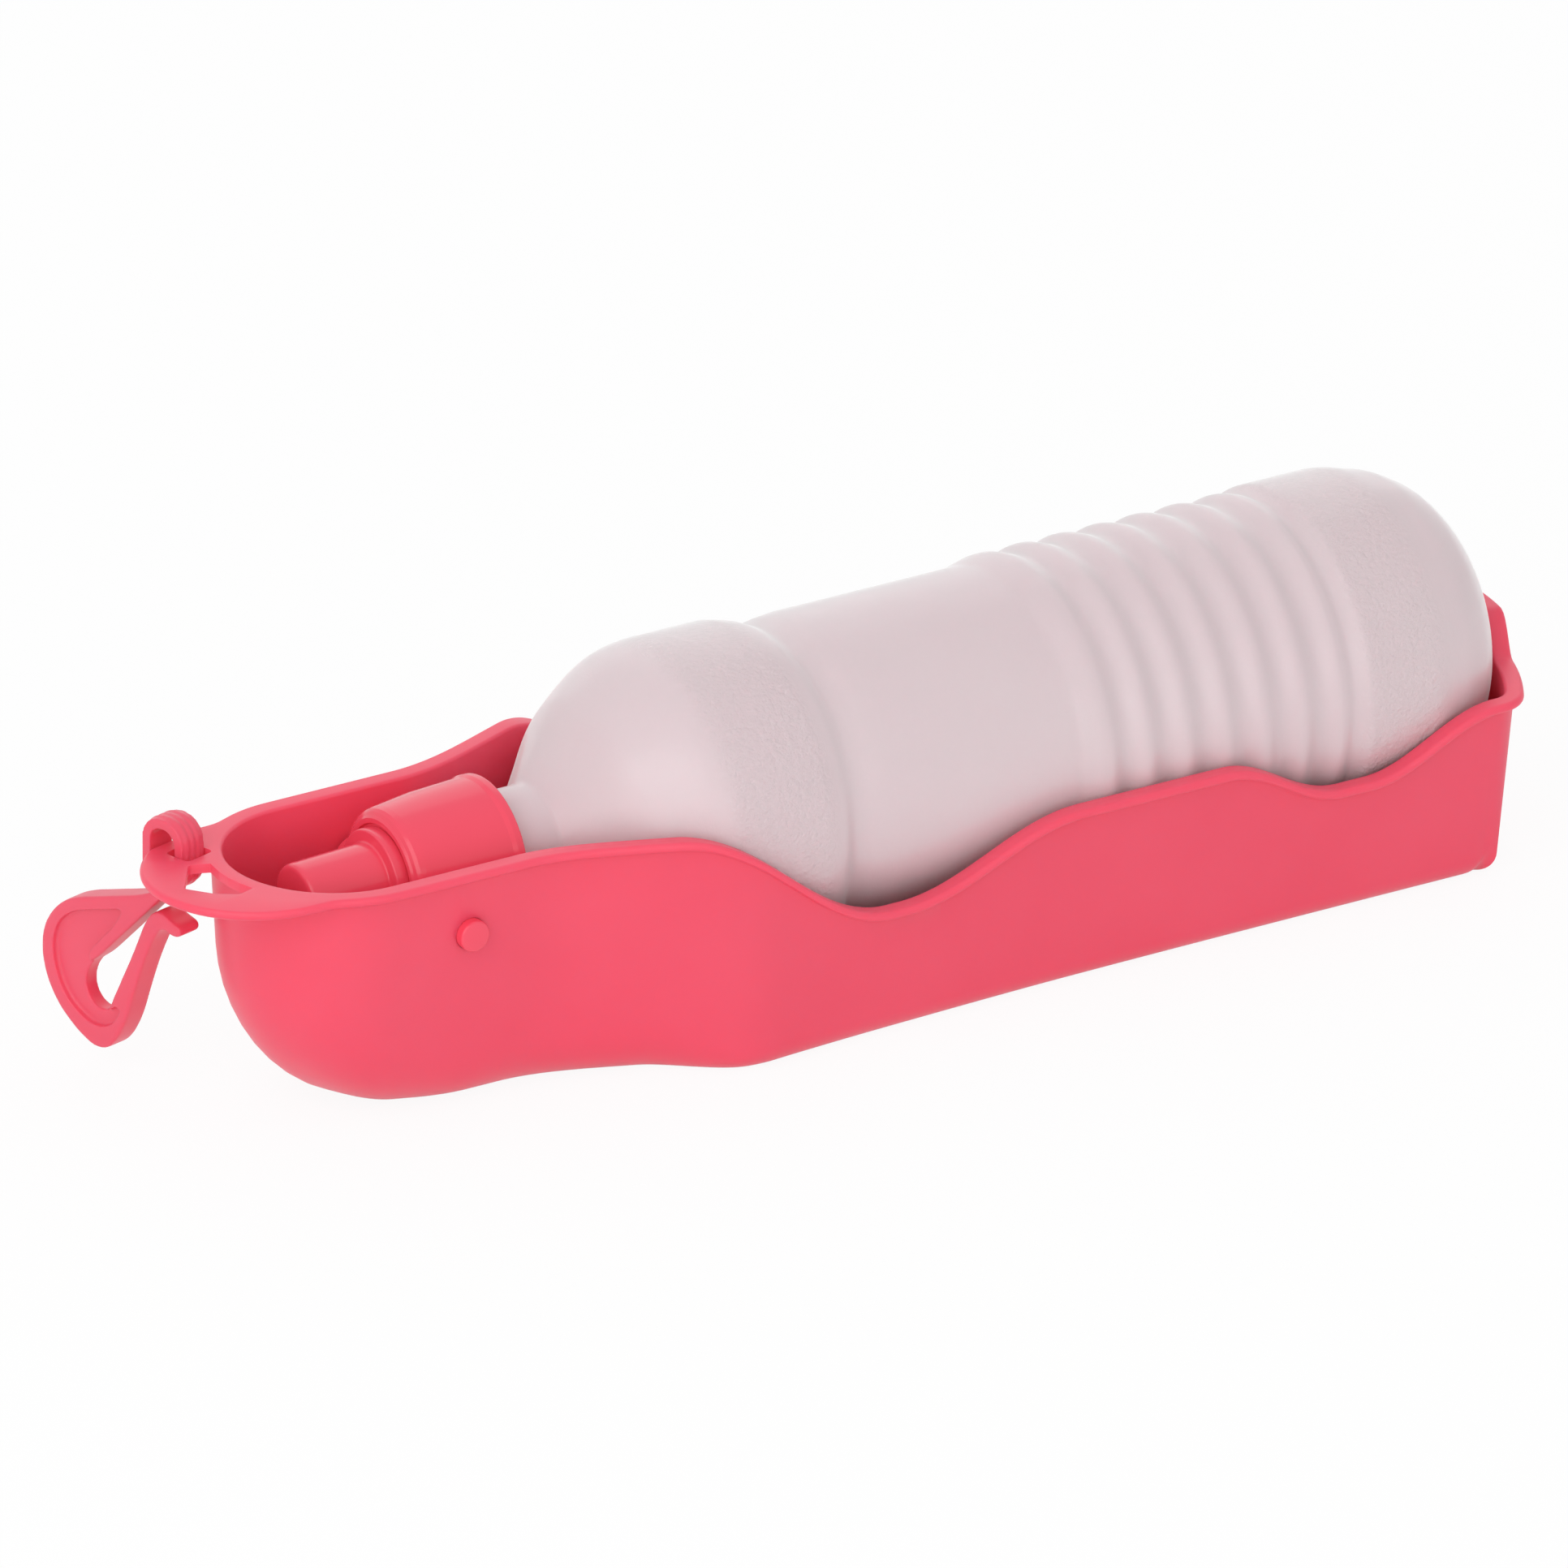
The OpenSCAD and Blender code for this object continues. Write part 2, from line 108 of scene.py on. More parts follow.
def rounded(corners: Sequence[Point3], steps: int = 5) -> List[Point2]:
    """Rounds each corner of a closed outline with its own fillet radius.

    Args:
        corners: (x, y, fillet radius) of each corner, in order.
        steps: segments of each fillet.

    Returns:
        The rounded outline.
    """
    out: List[Point2] = []
    for i, (x, y, radius) in enumerate(corners):
        here = Vector((x, y))
        to_last = Vector(corners[i - 1][:2]) - here
        to_next = Vector(corners[(i + 1) % len(corners)][:2]) - here
        half = to_last.angle(to_next) / 2
        if radius <= 0 or half > STRAIGHT:
            out.append((x, y))
            continue
        reach = min(radius / math.tan(half), to_last.length * FILLET_SHARE,
                    to_next.length * FILLET_SHARE)
        a, b = here + to_last.normalized() * reach, here + to_next.normalized() * reach
        for k in range(steps + 1):
            t = k / steps
            p = a * (1 - t) ** 2 + here * 2 * t * (1 - t) + b * t ** 2
            out.append((p.x, p.y))
    return out


def through(points: Sequence[Point2], step: float, closed: bool = False) -> List[Point2]:
    """Smooth curve through points, by centripetal Catmull-Rom spans.

    Args:
        points: the points to pass through.
        step: longest distance between two points of the result.
        closed: whether the curve comes back to its first point.

    Returns:
        The curve's points; an open curve includes both its ends.
    """
    pts = [Vector(p) for p in points]
    if closed:
        pts = [pts[-1]] + pts + pts[:2]
    else:
        pts = [2 * pts[0] - pts[1]] + pts + [2 * pts[-1] - pts[-2]]
    out: List[Point2] = [] if closed else [tuple(pts[1])]
    for p0, p1, p2, p3 in zip(pts, pts[1:], pts[2:], pts[3:]):
        t0 = 0.0
        t1 = t0 + math.sqrt((p1 - p0).length)
        t2 = t1 + math.sqrt((p2 - p1).length)
        t3 = t2 + math.sqrt((p3 - p2).length)
        parts = max(1, math.ceil((p2 - p1).length / step))
        for k in range(1, parts + 1):
            t = t1 + (t2 - t1) * k / parts
            a1 = p0 * ((t1 - t) / (t1 - t0)) + p1 * ((t - t0) / (t1 - t0))
            a2 = p1 * ((t2 - t) / (t2 - t1)) + p2 * ((t - t1) / (t2 - t1))
            a3 = p2 * ((t3 - t) / (t3 - t2)) + p3 * ((t - t2) / (t3 - t2))
            b1 = a1 * ((t2 - t) / (t2 - t0)) + a2 * ((t - t0) / (t2 - t0))
            b2 = a2 * ((t3 - t) / (t3 - t1)) + a3 * ((t - t1) / (t3 - t1))
            c = b1 * ((t2 - t) / (t2 - t1)) + b2 * ((t - t1) / (t2 - t1))
            out.append((c.x, c.y))
    return out


# ------------------------------------------------------------------ mesh helpers
def make_mesh(name: str, points: Sequence[Point3],
              faces: Sequence[Sequence[int]]) -> bpy.types.Mesh:
    """Makes a smooth-shaded mesh with its normals outward.

    Args:
        name: name of the mesh.
        points: its points in millimetres.
        faces: numbers of the points of each face.

    Returns:
        The mesh, in metres.
    """
    mesh = bpy.data.meshes.new(name)
    mesh.from_pydata([tuple(c * MM for c in p) for p in points], [], faces)
    work = bmesh.new()
    work.from_mesh(mesh)
    bmesh.ops.remove_doubles(work, verts=work.verts, dist=WELD)
    bmesh.ops.recalc_face_normals(work, faces=work.faces)
    for face in work.faces:
        face.smooth = True
    work.to_mesh(mesh)
    work.free()
    return mesh


def make_object(name: str, mesh: bpy.types.Mesh) -> bpy.types.Object:
    """Links a new object that holds the mesh, at the origin.

    Args:
        name: name of the object.
        mesh: its mesh.

    Returns:
        The object.
    """
    obj = bpy.data.objects.new(name, mesh)
    bpy.context.scene.collection.objects.link(obj)
    return obj


def settle(obj: bpy.types.Object) -> None:
    """Applies an object's modifiers by keeping its evaluated mesh.

    Args:
        obj: the object.
    """
    bpy.context.view_layer.update()
    graph = bpy.context.evaluated_depsgraph_get()
    mesh = bpy.data.meshes.new_from_object(obj.evaluated_get(graph))
    obj.modifiers.clear()
    obj.data = mesh


def joined(name: str, meshes: Sequence[bpy.types.Mesh]) -> bpy.types.Mesh:
    """Joins several meshes into one without welding them.

    Args:
        name: name of the new mesh.
        meshes: the meshes.

    Returns:
        The new mesh.
    """
    work = bmesh.new()
    for mesh in meshes:
        work.from_mesh(mesh)
    out = bpy.data.meshes.new(name)
    work.to_mesh(out)
    work.free()
    return out


def turned(name: str, outline: Sequence[Point2], sides: int) -> bpy.types.Mesh:
    """Turns a closed outline of (along, radius) about the X axis.

    Args:
        name: name of the mesh.
        outline: closed outline; a point with radius 0 lies on the axis.
        sides: number of sides of the turned form.

    Returns:
        The closed mesh, in metres, about the line y = z = 0.
    """
    points: List[Point3] = []
    rows: List[List[int]] = []
    for along, radius in outline:
        if radius <= ON_AXIS:
            points.append((along, 0.0, 0.0))
            rows.append([len(points) - 1] * sides)
            continue
        first = len(points)
        for k in range(sides):
            a = 2 * math.pi * k / sides
            points.append((along, radius * math.sin(a), radius * math.cos(a)))
        rows.append(list(range(first, first + sides)))
    faces = []
    for i, row in enumerate(rows):
        following = rows[(i + 1) % len(rows)]
        for k in range(sides):
            n = (k + 1) % sides
            corner = list(dict.fromkeys([row[k], row[n], following[n], following[k]]))
            if len(corner) > 2:
                faces.append(corner)
    return make_mesh(name, points, faces)


def prism(name: str, outline: Sequence[Point2], low: float, high: float) -> bpy.types.Mesh:
    """Extrudes a flat outline.

    Args:
        name: name of the mesh.
        outline: its outline in XY.
        low: height of its bottom.
        high: height of its top.

    Returns:
        The closed, flat-shaded mesh.
    """
    count = len(outline)
    points = [(x, y, low) for x, y in outline] + [(x, y, high) for x, y in outline]
    faces = [list(range(count))[::-1], list(range(count, 2 * count))]
    faces += [[i, (i + 1) % count, count + (i + 1) % count, count + i] for i in range(count)]
    mesh = make_mesh(name, points, faces)
    for face in mesh.polygons:
        face.use_smooth = False
    return mesh


class Cut(Enum):
    """What a second solid does to the first."""
    TAKE_AWAY = "DIFFERENCE"
    ADD = "UNION"


def combine(target: bpy.types.Object, mesh: bpy.types.Mesh, how: Cut) -> None:
    """Adds a solid to an object, or takes it away.

    Args:
        target: the object that is changed.
        mesh: the second solid.
        how: what the second solid does.
    """
    tool = make_object("tool", mesh)
    step = target.modifiers.new("combine", "BOOLEAN")
    step.operation = how.value
    step.solver = "EXACT"
    step.object = tool
    settle(target)
    bpy.data.objects.remove(tool)


def break_edges(obj: bpy.types.Object, width: float, angle: float = 40.0) -> None:
    """Rounds the sharp edges of an object.

    Args:
        obj: the object.
        width: width of the rounding in millimetres.
        angle: edges that turn by more than this, in degrees, are rounded.
    """
    step = obj.modifiers.new("edges", "BEVEL")
    step.width = width * MM
    step.segments = 3
    step.limit_method = "ANGLE"
    step.angle_limit = math.radians(angle)
    settle(obj)


# ------------------------------------------------------------------ finishes
def linear(code: str) -> Tuple[float, float, float, float]:
    """Turns an sRGB hex code into a linear colour.

    Args:
        code: six hex digits.

    Returns:
        The colour with an alpha of 1.
    """
    values = [int(code[i:i + 2], 16) / 255 for i in (0, 2, 4)]
    lin = [v / 12.92 if v <= 0.04045 else ((v + 0.055) / 1.055) ** 2.4 for v in values]
    return (lin[0], lin[1], lin[2], 1.0)


def per_metre(spacing: float) -> float:
    """Scale of a pattern whose features repeat at a spacing in millimetres."""
    return 1.0 / (spacing * MM)


class Nodes:
    """Lays out and links the nodes of one tree."""

    def __init__(self, tree: bpy.types.NodeTree) -> None:
        """Keeps the tree and empties it."""
        self.tree = tree
        tree.nodes.clear()

    def add(self, kind: str, inputs: Optional[dict] = None, **settings: object) -> bpy.types.Node:
        """Adds a node with its settings and links.

        Args:
            kind: Blender's name for the type of node.
            inputs: for an input's name or number, the socket linked to it or its value.
            settings: properties of the node, such as its operation.

        Returns:
            The new node.
        """
        node = self.tree.nodes.new(kind)
        for key, value in settings.items():
            setattr(node, key, value)
        for key, value in (inputs or {}).items():
            if isinstance(value, bpy.types.NodeSocket):
                self.tree.links.new(value, node.inputs[key])
            else:
                node.inputs[key].default_value = value
        return node


def new_material(name: str) -> Tuple[bpy.types.Material, Nodes]:
    """Starts a node material.

    Args:
        name: what the material is.

    Returns:
        The material and the layout of its empty tree.
    """
    material = bpy.data.materials.new(name)
    material.use_nodes = True
    return material, Nodes(material.node_tree)


def clouded(nodes: Nodes, place: bpy.types.NodeSocket, spacing: float, detail: float,
            shades: Tuple[str, str]) -> Tuple[bpy.types.NodeSocket, bpy.types.NodeSocket]:
    """Slow clouds between two close colours.

    Args:
        nodes: the tree to lay the nodes in.
        place: the socket that holds the Object coordinates.
        spacing: spacing of the clouds in millimetres.
        detail: how many finer layers the clouds have.
        shades: the two colours in sRGB hex.

    Returns:
        The sockets that hold the clouds and the colour.
    """
    cloud = nodes.add("ShaderNodeTexNoise", {"Vector": place, "Scale": per_metre(spacing),
                                             "Detail": detail}).outputs["Fac"]
    colour = nodes.add("ShaderNodeMix", {"Factor": cloud, "A": linear(shades[0]),
                                         "B": linear(shades[1])}, data_type="RGBA")
    return cloud, colour.outputs["Result"]


@dataclass(frozen=True)
class MouldedPlastic:
    """Injection-moulded plastic: a thin wall that light glows through, with a fine skin.

    Attributes:
        name: what the material is.
        colour: its colour in sRGB hex.
        shade: the slightly deeper colour of its flow clouds.
        roughness: mean roughness of the skin.
        uneven: how far the roughness strays from its mean.
        glow: share of the light that passes under the surface.
        glow_depth: how far red light passes, in millimetres.
        glow_colour: how far each colour passes, as a share of red.
        ior: index of refraction.
        cloud: spacing of the flow clouds in millimetres.
        skin: spacing of the mould's fine skin in millimetres.
        skin_depth: height of that skin in millimetres.
        skin_strength: share of that height that the light follows.
    """
    name: str
    colour: str
    shade: str
    roughness: float = 0.42
    uneven: float = 0.05
    glow: float = 0.35
    glow_depth: float = 5.0
    glow_colour: Point3 = (1.0, 0.12, 0.14)
    ior: float = 1.49
    cloud: float = 26.0
    skin: float = 0.65
    skin_depth: float = 0.02
    skin_strength: float = 0.35

    def build(self) -> bpy.types.Material:
        """Builds the node material.

        Returns:
            The material, laid out on Object coordinates.
        """
        material, nodes = new_material(self.name)
        place = nodes.add("ShaderNodeTexCoord").outputs["Object"]
        # flow clouds of the melt: a barely uneven colour and gloss over a hand's breadth
        cloud, colour = clouded(nodes, place, self.cloud, 3.0, (self.colour, self.shade))
        rough = nodes.add("ShaderNodeMapRange", {"Value": cloud,
                                                 "To Min": self.roughness - self.uneven,
                                                 "To Max": self.roughness + self.uneven})
        # spark-eroded mould skin, 0.05 mm in life: drawn coarser so that it shows at all
        skin = nodes.add("ShaderNodeTexNoise", {"Vector": place, "Scale": per_metre(self.skin),
                                                "Detail": 2.0}).outputs["Fac"]
        bump = nodes.add("ShaderNodeBump", {"Height": skin, "Strength": self.skin_strength,
                                            "Distance": self.skin_depth * MM})
        shader = nodes.add("ShaderNodeBsdfPrincipled", {
            "Base Color": colour, "Roughness": rough.outputs["Result"],
            "Normal": bump.outputs["Normal"], "IOR": self.ior, "Subsurface Weight": self.glow,
            "Subsurface Radius": self.glow_colour, "Subsurface Scale": self.glow_depth * MM})
        nodes.add("ShaderNodeOutputMaterial", {"Surface": shader.outputs[0]})
        return material


@dataclass(frozen=True)
class FrostedPlastic:
    """Frosted blow-moulded low-density polyethylene, grained on the two full bands.

    Attributes:
        name: what the material is.
        colour: its milky colour in sRGB hex.
        shade: the slightly rosier colour of its thicker clouds.
        roughness: roughness of the smooth wall.
        grained: what the grain adds to that roughness.
        ior: index of refraction.
        clear: share of the light that goes straight through.
        milk: share of the light that is scattered inside.
        milk_depth: how far red light is scattered, in millimetres.
        milk_colour: how far each colour is scattered, as a share of red.
        waxy: roughness of the waxy sheen on top.
        haze: roughness of the haze at grazing angles.
        bands: first and last x of each grained band, in millimetres.
        edge: half the width over which the grain fades, in millimetres.
        cloud: spacing of the wall's thick and thin clouds in millimetres.
        grain: spacing of the leathery grain in millimetres.
        relief: height of the grain in millimetres.
        relief_strength: share of that height that the light follows.
        frost: spacing of the fine frosting in millimetres.
        frost_share: height of the frosting as a share of the grain's.
    """
    name: str = "frosted_low_density_polyethylene"
    colour: str = "F6E4E7"
    shade: str = "F3DCE1"
    roughness: float = 0.75
    grained: float = 0.1
    ior: float = 1.51
    clear: float = 0.3
    milk: float = 0.35
    milk_depth: float = 2.2
    milk_colour: Point3 = (1.0, 0.8, 0.85)
    waxy: float = 0.27
    haze: float = 0.3
    bands: Tuple[Point2, Point2] = ((55.5, 76.5), (191.5, 208.5))
    edge: float = 2.2
    cloud: float = 38.0
    grain: float = 1.1
    relief: float = 0.9
    relief_strength: float = 0.6
    frost: float = 0.45
    frost_share: float = 0.05

    def band(self, nodes: Nodes, along: bpy.types.NodeSocket) -> bpy.types.NodeSocket:
        """Mask that is 1 on the grained bands.

        Args:
            nodes: the tree to lay the nodes in.
            along: the socket that holds x.

        Returns:
            The socket that holds the mask.
        """
        masks = []
        for ends in self.bands:
            # the grain rises at a band's first end and falls at its last one
            slopes = [nodes.add("ShaderNodeMapRange", {
                "Value": along, "From Min": (end - self.edge) * MM,
                "From Max": (end + self.edge) * MM, "To Min": low, "To Max": 1.0 - low},
                interpolation_type="SMOOTHSTEP").outputs["Result"]
                for end, low in zip(ends, (0.0, 1.0))]
            masks.append(nodes.add("ShaderNodeMath", dict(enumerate(slopes)),
                                   operation="MULTIPLY").outputs[0])
        return nodes.add("ShaderNodeMath", dict(enumerate(masks)), operation="MAXIMUM").outputs[0]

    def build(self) -> bpy.types.Material:
        """Builds the node material.

        Returns:
            The material, laid out on Object coordinates.
        """
        material, nodes = new_material(self.name)
        place = nodes.add("ShaderNodeTexCoord").outputs["Object"]
        split = nodes.add("ShaderNodeSeparateXYZ", {0: place})
        band = self.band(nodes, split.outputs["X"])
        # blown walls are a little thicker here and there, which shows as faint rosy clouds
        _, colour = clouded(nodes, place, self.cloud, 4.0, (self.colour, self.shade))
        # the two full bands carry a leathery grain for grip; the rest is finely frosted,
        # and both are drawn coarser than in life so that they show
        grain = nodes.add("ShaderNodeTexNoise", {"Vector": place, "Scale": per_metre(self.grain),
                                                 "Detail": 3.0, "Roughness": 0.6}).outputs["Fac"]
        frost = nodes.add("ShaderNodeTexNoise", {"Vector": place,
                                                 "Scale": per_metre(self.frost)}).outputs["Fac"]
        leather = nodes.add("ShaderNodeMath", {0: grain, 1: band}, operation="MULTIPLY").outputs[0]
        height = nodes.add("ShaderNodeMath", {0: frost, 1: self.frost_share, 2: leather},
                           operation="MULTIPLY_ADD").outputs[0]
        bump = nodes.add("ShaderNodeBump", {"Height": height, "Strength": self.relief_strength,
                                            "Distance": self.relief * MM})
        rough = nodes.add("ShaderNodeMapRange", {"Value": band, "To Min": self.roughness,
                                                 "To Max": self.roughness + self.grained})
        shader = nodes.add("ShaderNodeBsdfPrincipled", {
            "Base Color": colour, "Roughness": rough.outputs["Result"],
            "Normal": bump.outputs["Normal"], "IOR": self.ior, "Transmission Weight": self.clear,
            "Subsurface Weight": self.milk, "Subsurface Radius": self.milk_colour,
            "Subsurface Scale": self.milk_depth * MM, "Coat Weight": 1.0,
            "Coat Roughness": self.waxy, "Sheen Weight": 1.0, "Sheen Roughness": self.haze})
        nodes.add("ShaderNodeOutputMaterial", {"Surface": shader.outputs[0]})
        return material


@dataclass(frozen=True)
class Finishes:
    """The finishes of the whole object."""
    # satin moulded polypropylene: a soft sheen on the walls and a red glow in the shade
    tray: MouldedPlastic = MouldedPlastic("satin_polypropylene", "F4526C", "EF4A65")
    # gloss moulded polypropylene: bright lines along the cap's edges; its wall is thick
    cap: MouldedPlastic = MouldedPlastic("gloss_polypropylene", "F44E65", "EC485F",
                                         roughness=0.2, glow=0.0, skin_depth=0.006)
    # soft thermoplastic elastomer: a slightly waxy clip whose edges glow
    clip: MouldedPlastic = MouldedPlastic("thermoplastic_elastomer", "EA556D", "E44D66",
                                          roughness=0.38)
    # frosted polyethylene: milky, lit from inside by what falls through its far wall
    bottle: FrostedPlastic = FrostedPlastic()
    # silicone rubber: matt and nearly white
    seal: MouldedPlastic = MouldedPlastic("silicone_rubber", "ECEBE4", "E2E1DA", roughness=0.7,
                                          glow=0.1, glow_depth=1.0, ior=1.41, skin_depth=0.04)


def dress(obj: bpy.types.Object, material: bpy.types.Material) -> None:
    """Gives an object one material."""
    obj.data.materials.clear()
    obj.data.materials.append(material)


def declare(obj: bpy.types.Object, finish: bpy.types.Material, body: str, node: str) -> None:
    """Shades and dresses a finished piece, hangs it on its body and hides the frame's node that it
    stands for.

    Args:
        obj: the finished piece.
        finish: its material.
        body: the body that it rides on.
        node: the frame's node that it stands for.
    """
    obj.data.polygons.foreach_set("use_smooth", [True] * len(obj.data.polygons))
    dress(obj, finish)
    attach(obj, body)
    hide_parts(node)
    LOG.info("%s: %d faces, rides on %s", obj.name, len(obj.data.polygons), body)


# ------------------------------------------------------------------ geometry trees
def begin_tree(name: str, inputs: dict) -> Tuple[bpy.types.NodeTree, Nodes, object]:
    """Starts a geometry tree with named inputs.

    Args:
        name: name of the tree.
        inputs: type of each input between the geometry and the material.

    Returns:
        The tree, the layout of its nodes and the sockets of its inputs.
    """
    tree = bpy.data.node_groups.new(name, "GeometryNodeTree")
    for label, kind in {"Geometry": "Geometry", **inputs, "Material": "Material"}.items():
        tree.interface.new_socket(label, in_out="INPUT", socket_type="NodeSocket" + kind)
    tree.interface.new_socket("Geometry", in_out="OUTPUT", socket_type="NodeSocketGeometry")
    nodes = Nodes(tree)
    return tree, nodes, nodes.add("NodeGroupInput").outputs


def end_tree(nodes: Nodes, geometry: bpy.types.NodeSocket,
             finish: bpy.types.NodeSocket) -> None:
    """Ends a geometry tree with real geometry that is dressed.

    Args:
        nodes: the layout of the tree.
        geometry: the socket of what it made.
        finish: the socket of its material.
    """
    real = nodes.add("GeometryNodeRealizeInstances", {0: geometry})
    coat = nodes.add("GeometryNodeSetMaterial", {"Geometry": real.outputs[0], "Material": finish})
    nodes.add("NodeGroupOutput", {0: coat.outputs[0]})


def grow(obj: bpy.types.Object, tree: bpy.types.NodeTree, values: dict) -> None:
    """Runs a geometry tree on an object and keeps the plain mesh.

    Args:
        obj: the object whose mesh goes in.
        tree: the geometry tree.
        values: value of each named input.
    """
    step = obj.modifiers.new("grow", "NODES")
    step.node_group = tree
    for item in tree.interface.items_tree:
        if item.item_type == "SOCKET" and item.in_out == "INPUT" and item.name in values:
            step[item.identifier] = values[item.name]
    settle(obj)


# ------------------------------------------------------------------ tray
class Stretch(Enum):
    """The stretches of half the tray's plan, from the nose tip to the end."""
    NOSE = 0
    SIDE = 1
    CORNER = 2
    END = 3


@dataclass(frozen=True)
class Station:
    """One place on the plan of the tray.

    Attributes:
        stretch: the stretch it lies on.
        value: angle on the nose, x on a side, share of the turn on the rest.
    """
    stretch: Stretch
    value: float


@dataclass
class Tray:
    """The drinking trough: bowl at the nose, waved rim, flange with two slots.

    Lengths are in millimetres and slopes in degrees.
    """
    nose_x: float = -12.0
    nose_w: float = 22.5
    hip_w: float = 34.9
    rear_w: float = 34.6
    end_x: float = 232.6
    end_radius: float = 60.0
    corner_radius: float = 6.0
    least_corner: float = 3.0
    wall: float = 2.3
    end_thinner: float = 0.4
    floor: float = 2.4
    edge: float = 0.35
    # runs of x over which the plan widens, narrows, and the bowl becomes the trough
    flare: Point2 = (15.0, 60.5)
    rear_taper: Point2 = (90.0, 130.0)
    bowl_end: Point2 = (40.0, 62.0)
    # the rim: its lip, the heights it rests at, and the runs of x over which it changes
    lip_out: float = 1.76
    lip_t: float = 1.8
    under_r: float = 0.5
    edge_r: float = 0.8
    brim_r: float = 0.7
    rim_nose: float = 48.8
    rim_dip1: float = 26.3
    rim_mid: float = 37.1
    rim_dip2: float = 27.4
    waves: Tuple[Point2, ...] = ((43, 87), (90, 128), (159, 185), (191, 218))
    tab_z: float = 44.1
    tab_half: float = 18.5
    tab_side: float = 8.0
    # slopes of the walls, and the length over which the trough's draft settles
    nose_draft: float = 3.0
    hip_draft: float = 0.8
    rear_draft: float = 8.2
    end_draft: float = 4.0
    draft_run: float = 45.0
    corner_share: float = 0.6
    # the rounding between wall and floor: sizes (across, up), and what nose, tip and corner add
    fillet_plain: Point2 = (5.0, 5.0)
    fillet_nose: Point2 = (6.0, 7.5)
    fillet_tip: Point2 = (17.0, 20.0)
    fillet_corner: Point2 = (1.5, 3.0)
    fillet_least: float = 2.0
    fillet_run: Point2 = (40.0, 58.0)
    tip_from: float = 20.0
    tip_run: Point2 = (12.0, 60.0)
    # how inner outlines leave the walls: turn toward the spine, and where x starts to shift
    turn_in: float = 8.0
    spine_bend: float = 15.0
    shift_x: float = 185.0
    # the flange, what is cut through it, and the holes of the pins
    flange_x: float = -29.0
    flange_r: float = 20.8
    flange_merge: int = 24
    through_flange: Point2 = (44, 52)
    finger_angles: Tuple[float, ...] = (13.5, 4, -4, -12, -20)
    finger_front: Tuple[Point3, ...] = ((-37.6, -9.2, 1.6), (-41.4, -6.4, 1.8),
                                        (-44.9, -1.6, 1.1), (-38.7, 7.0, 1.1))
    strap_slot: Tuple[Point3, ...] = ((-0.4, -4.6, 1.2), (6.4, -4.6, 1.2),
                                      (6.4, 1.24, 1.2), (-0.4, 1.24, 1.2))
    strap_recess: Tuple[Point3, ...] = ((-0.7, 4.2, 0.8), (6.7, 4.2, 0.8),
                                        (9.1, 9.0, 0), (-2.6, 9.0, 0))
    pin_hole: float = 3.14
    hole_run: Point2 = (17, 28)
    # how finely it is drawn
    counts: Tuple[int, int, int, int] = (34, 260, 14, 34)
    fillet_steps: int = 12
    fan_x: float = 8.0
    fan_share: float = 0.12

    def rim(self, x: float, y: float) -> float:
        """Height of the rim at a place on the plan.

        Args:
            x: place along the tray.
            y: place across it.

        Returns:
            The height.
        """
        heights = (self.rim_nose, self.rim_dip1, self.rim_mid, self.rim_dip2, self.rim_mid)
        for (start, end), last, following in zip(self.waves, heights, heights[1:]):
            if x < start:
                return last
            if x < end:
                return last + (following - last) * cosine((x - start) / (end - start))
        share = cosine((self.tab_half - abs(y)) / self.tab_side)
        return self.rim_mid + (self.tab_z - self.rim_mid) * share

    def reference_z(self, place: Station) -> float:
        """Height at which the half width is given.

        Args:
            place: the station.

        Returns:
            The height.
        """
        if place.stretch is Stretch.NOSE:
            return self.rim_nose
        if place.stretch is Stretch.SIDE:
            share = passed(place.value, self.bowl_end)
            return self.rim_nose + (self.rim_mid - self.rim_nose) * share
        return self.rim_mid

    def half_width(self, x: float) -> float:
        """Half width of the wall along a side."""
        return (self.nose_w + (self.hip_w - self.nose_w) * passed(x, self.flare)
                + (self.rear_w - self.hip_w) * passed(x, self.rear_taper))

    def draft(self, place: Station) -> float:
        """Slope of the wall.

        Args:
            place: the station.

        Returns:
            The slope in degrees.
        """
        if place.stretch is Stretch.NOSE:
            return self.nose_draft
        if place.stretch is Stretch.SIDE:
            x, last = place.value, self.bowl_end[1]
            if x < last:
                fall = self.hip_draft - self.nose_draft
                return self.nose_draft + fall * passed(x, self.bowl_end)
            left = math.exp((last - x) / self.draft_run)
            return self.rear_draft - (self.rear_draft - self.hip_draft) * left
        if place.stretch is Stretch.CORNER:
            share = place.value * self.corner_share
        else:
            share = 1 - (1 - self.corner_share) * place.value
        return self.rear_draft + (self.end_draft - self.rear_draft) * smooth(share)

    def corner(self, inset: float) -> Tuple[float, float, float, float]:
        """Plan of the rear corner.

        Args:
            inset: distance inward from the wall.

        Returns:
            Its radius, the x and y of its centre, and the angle where the end begins, in degrees.
        """
        radius = max(self.corner_radius - inset, self.least_corner)
        y = self.rear_w - inset - radius
        reach = self.end_radius - inset - radius
        return (radius, self.end_x - self.end_radius + math.sqrt(reach ** 2 - y ** 2), y,
                math.degrees(math.asin(y / reach)))

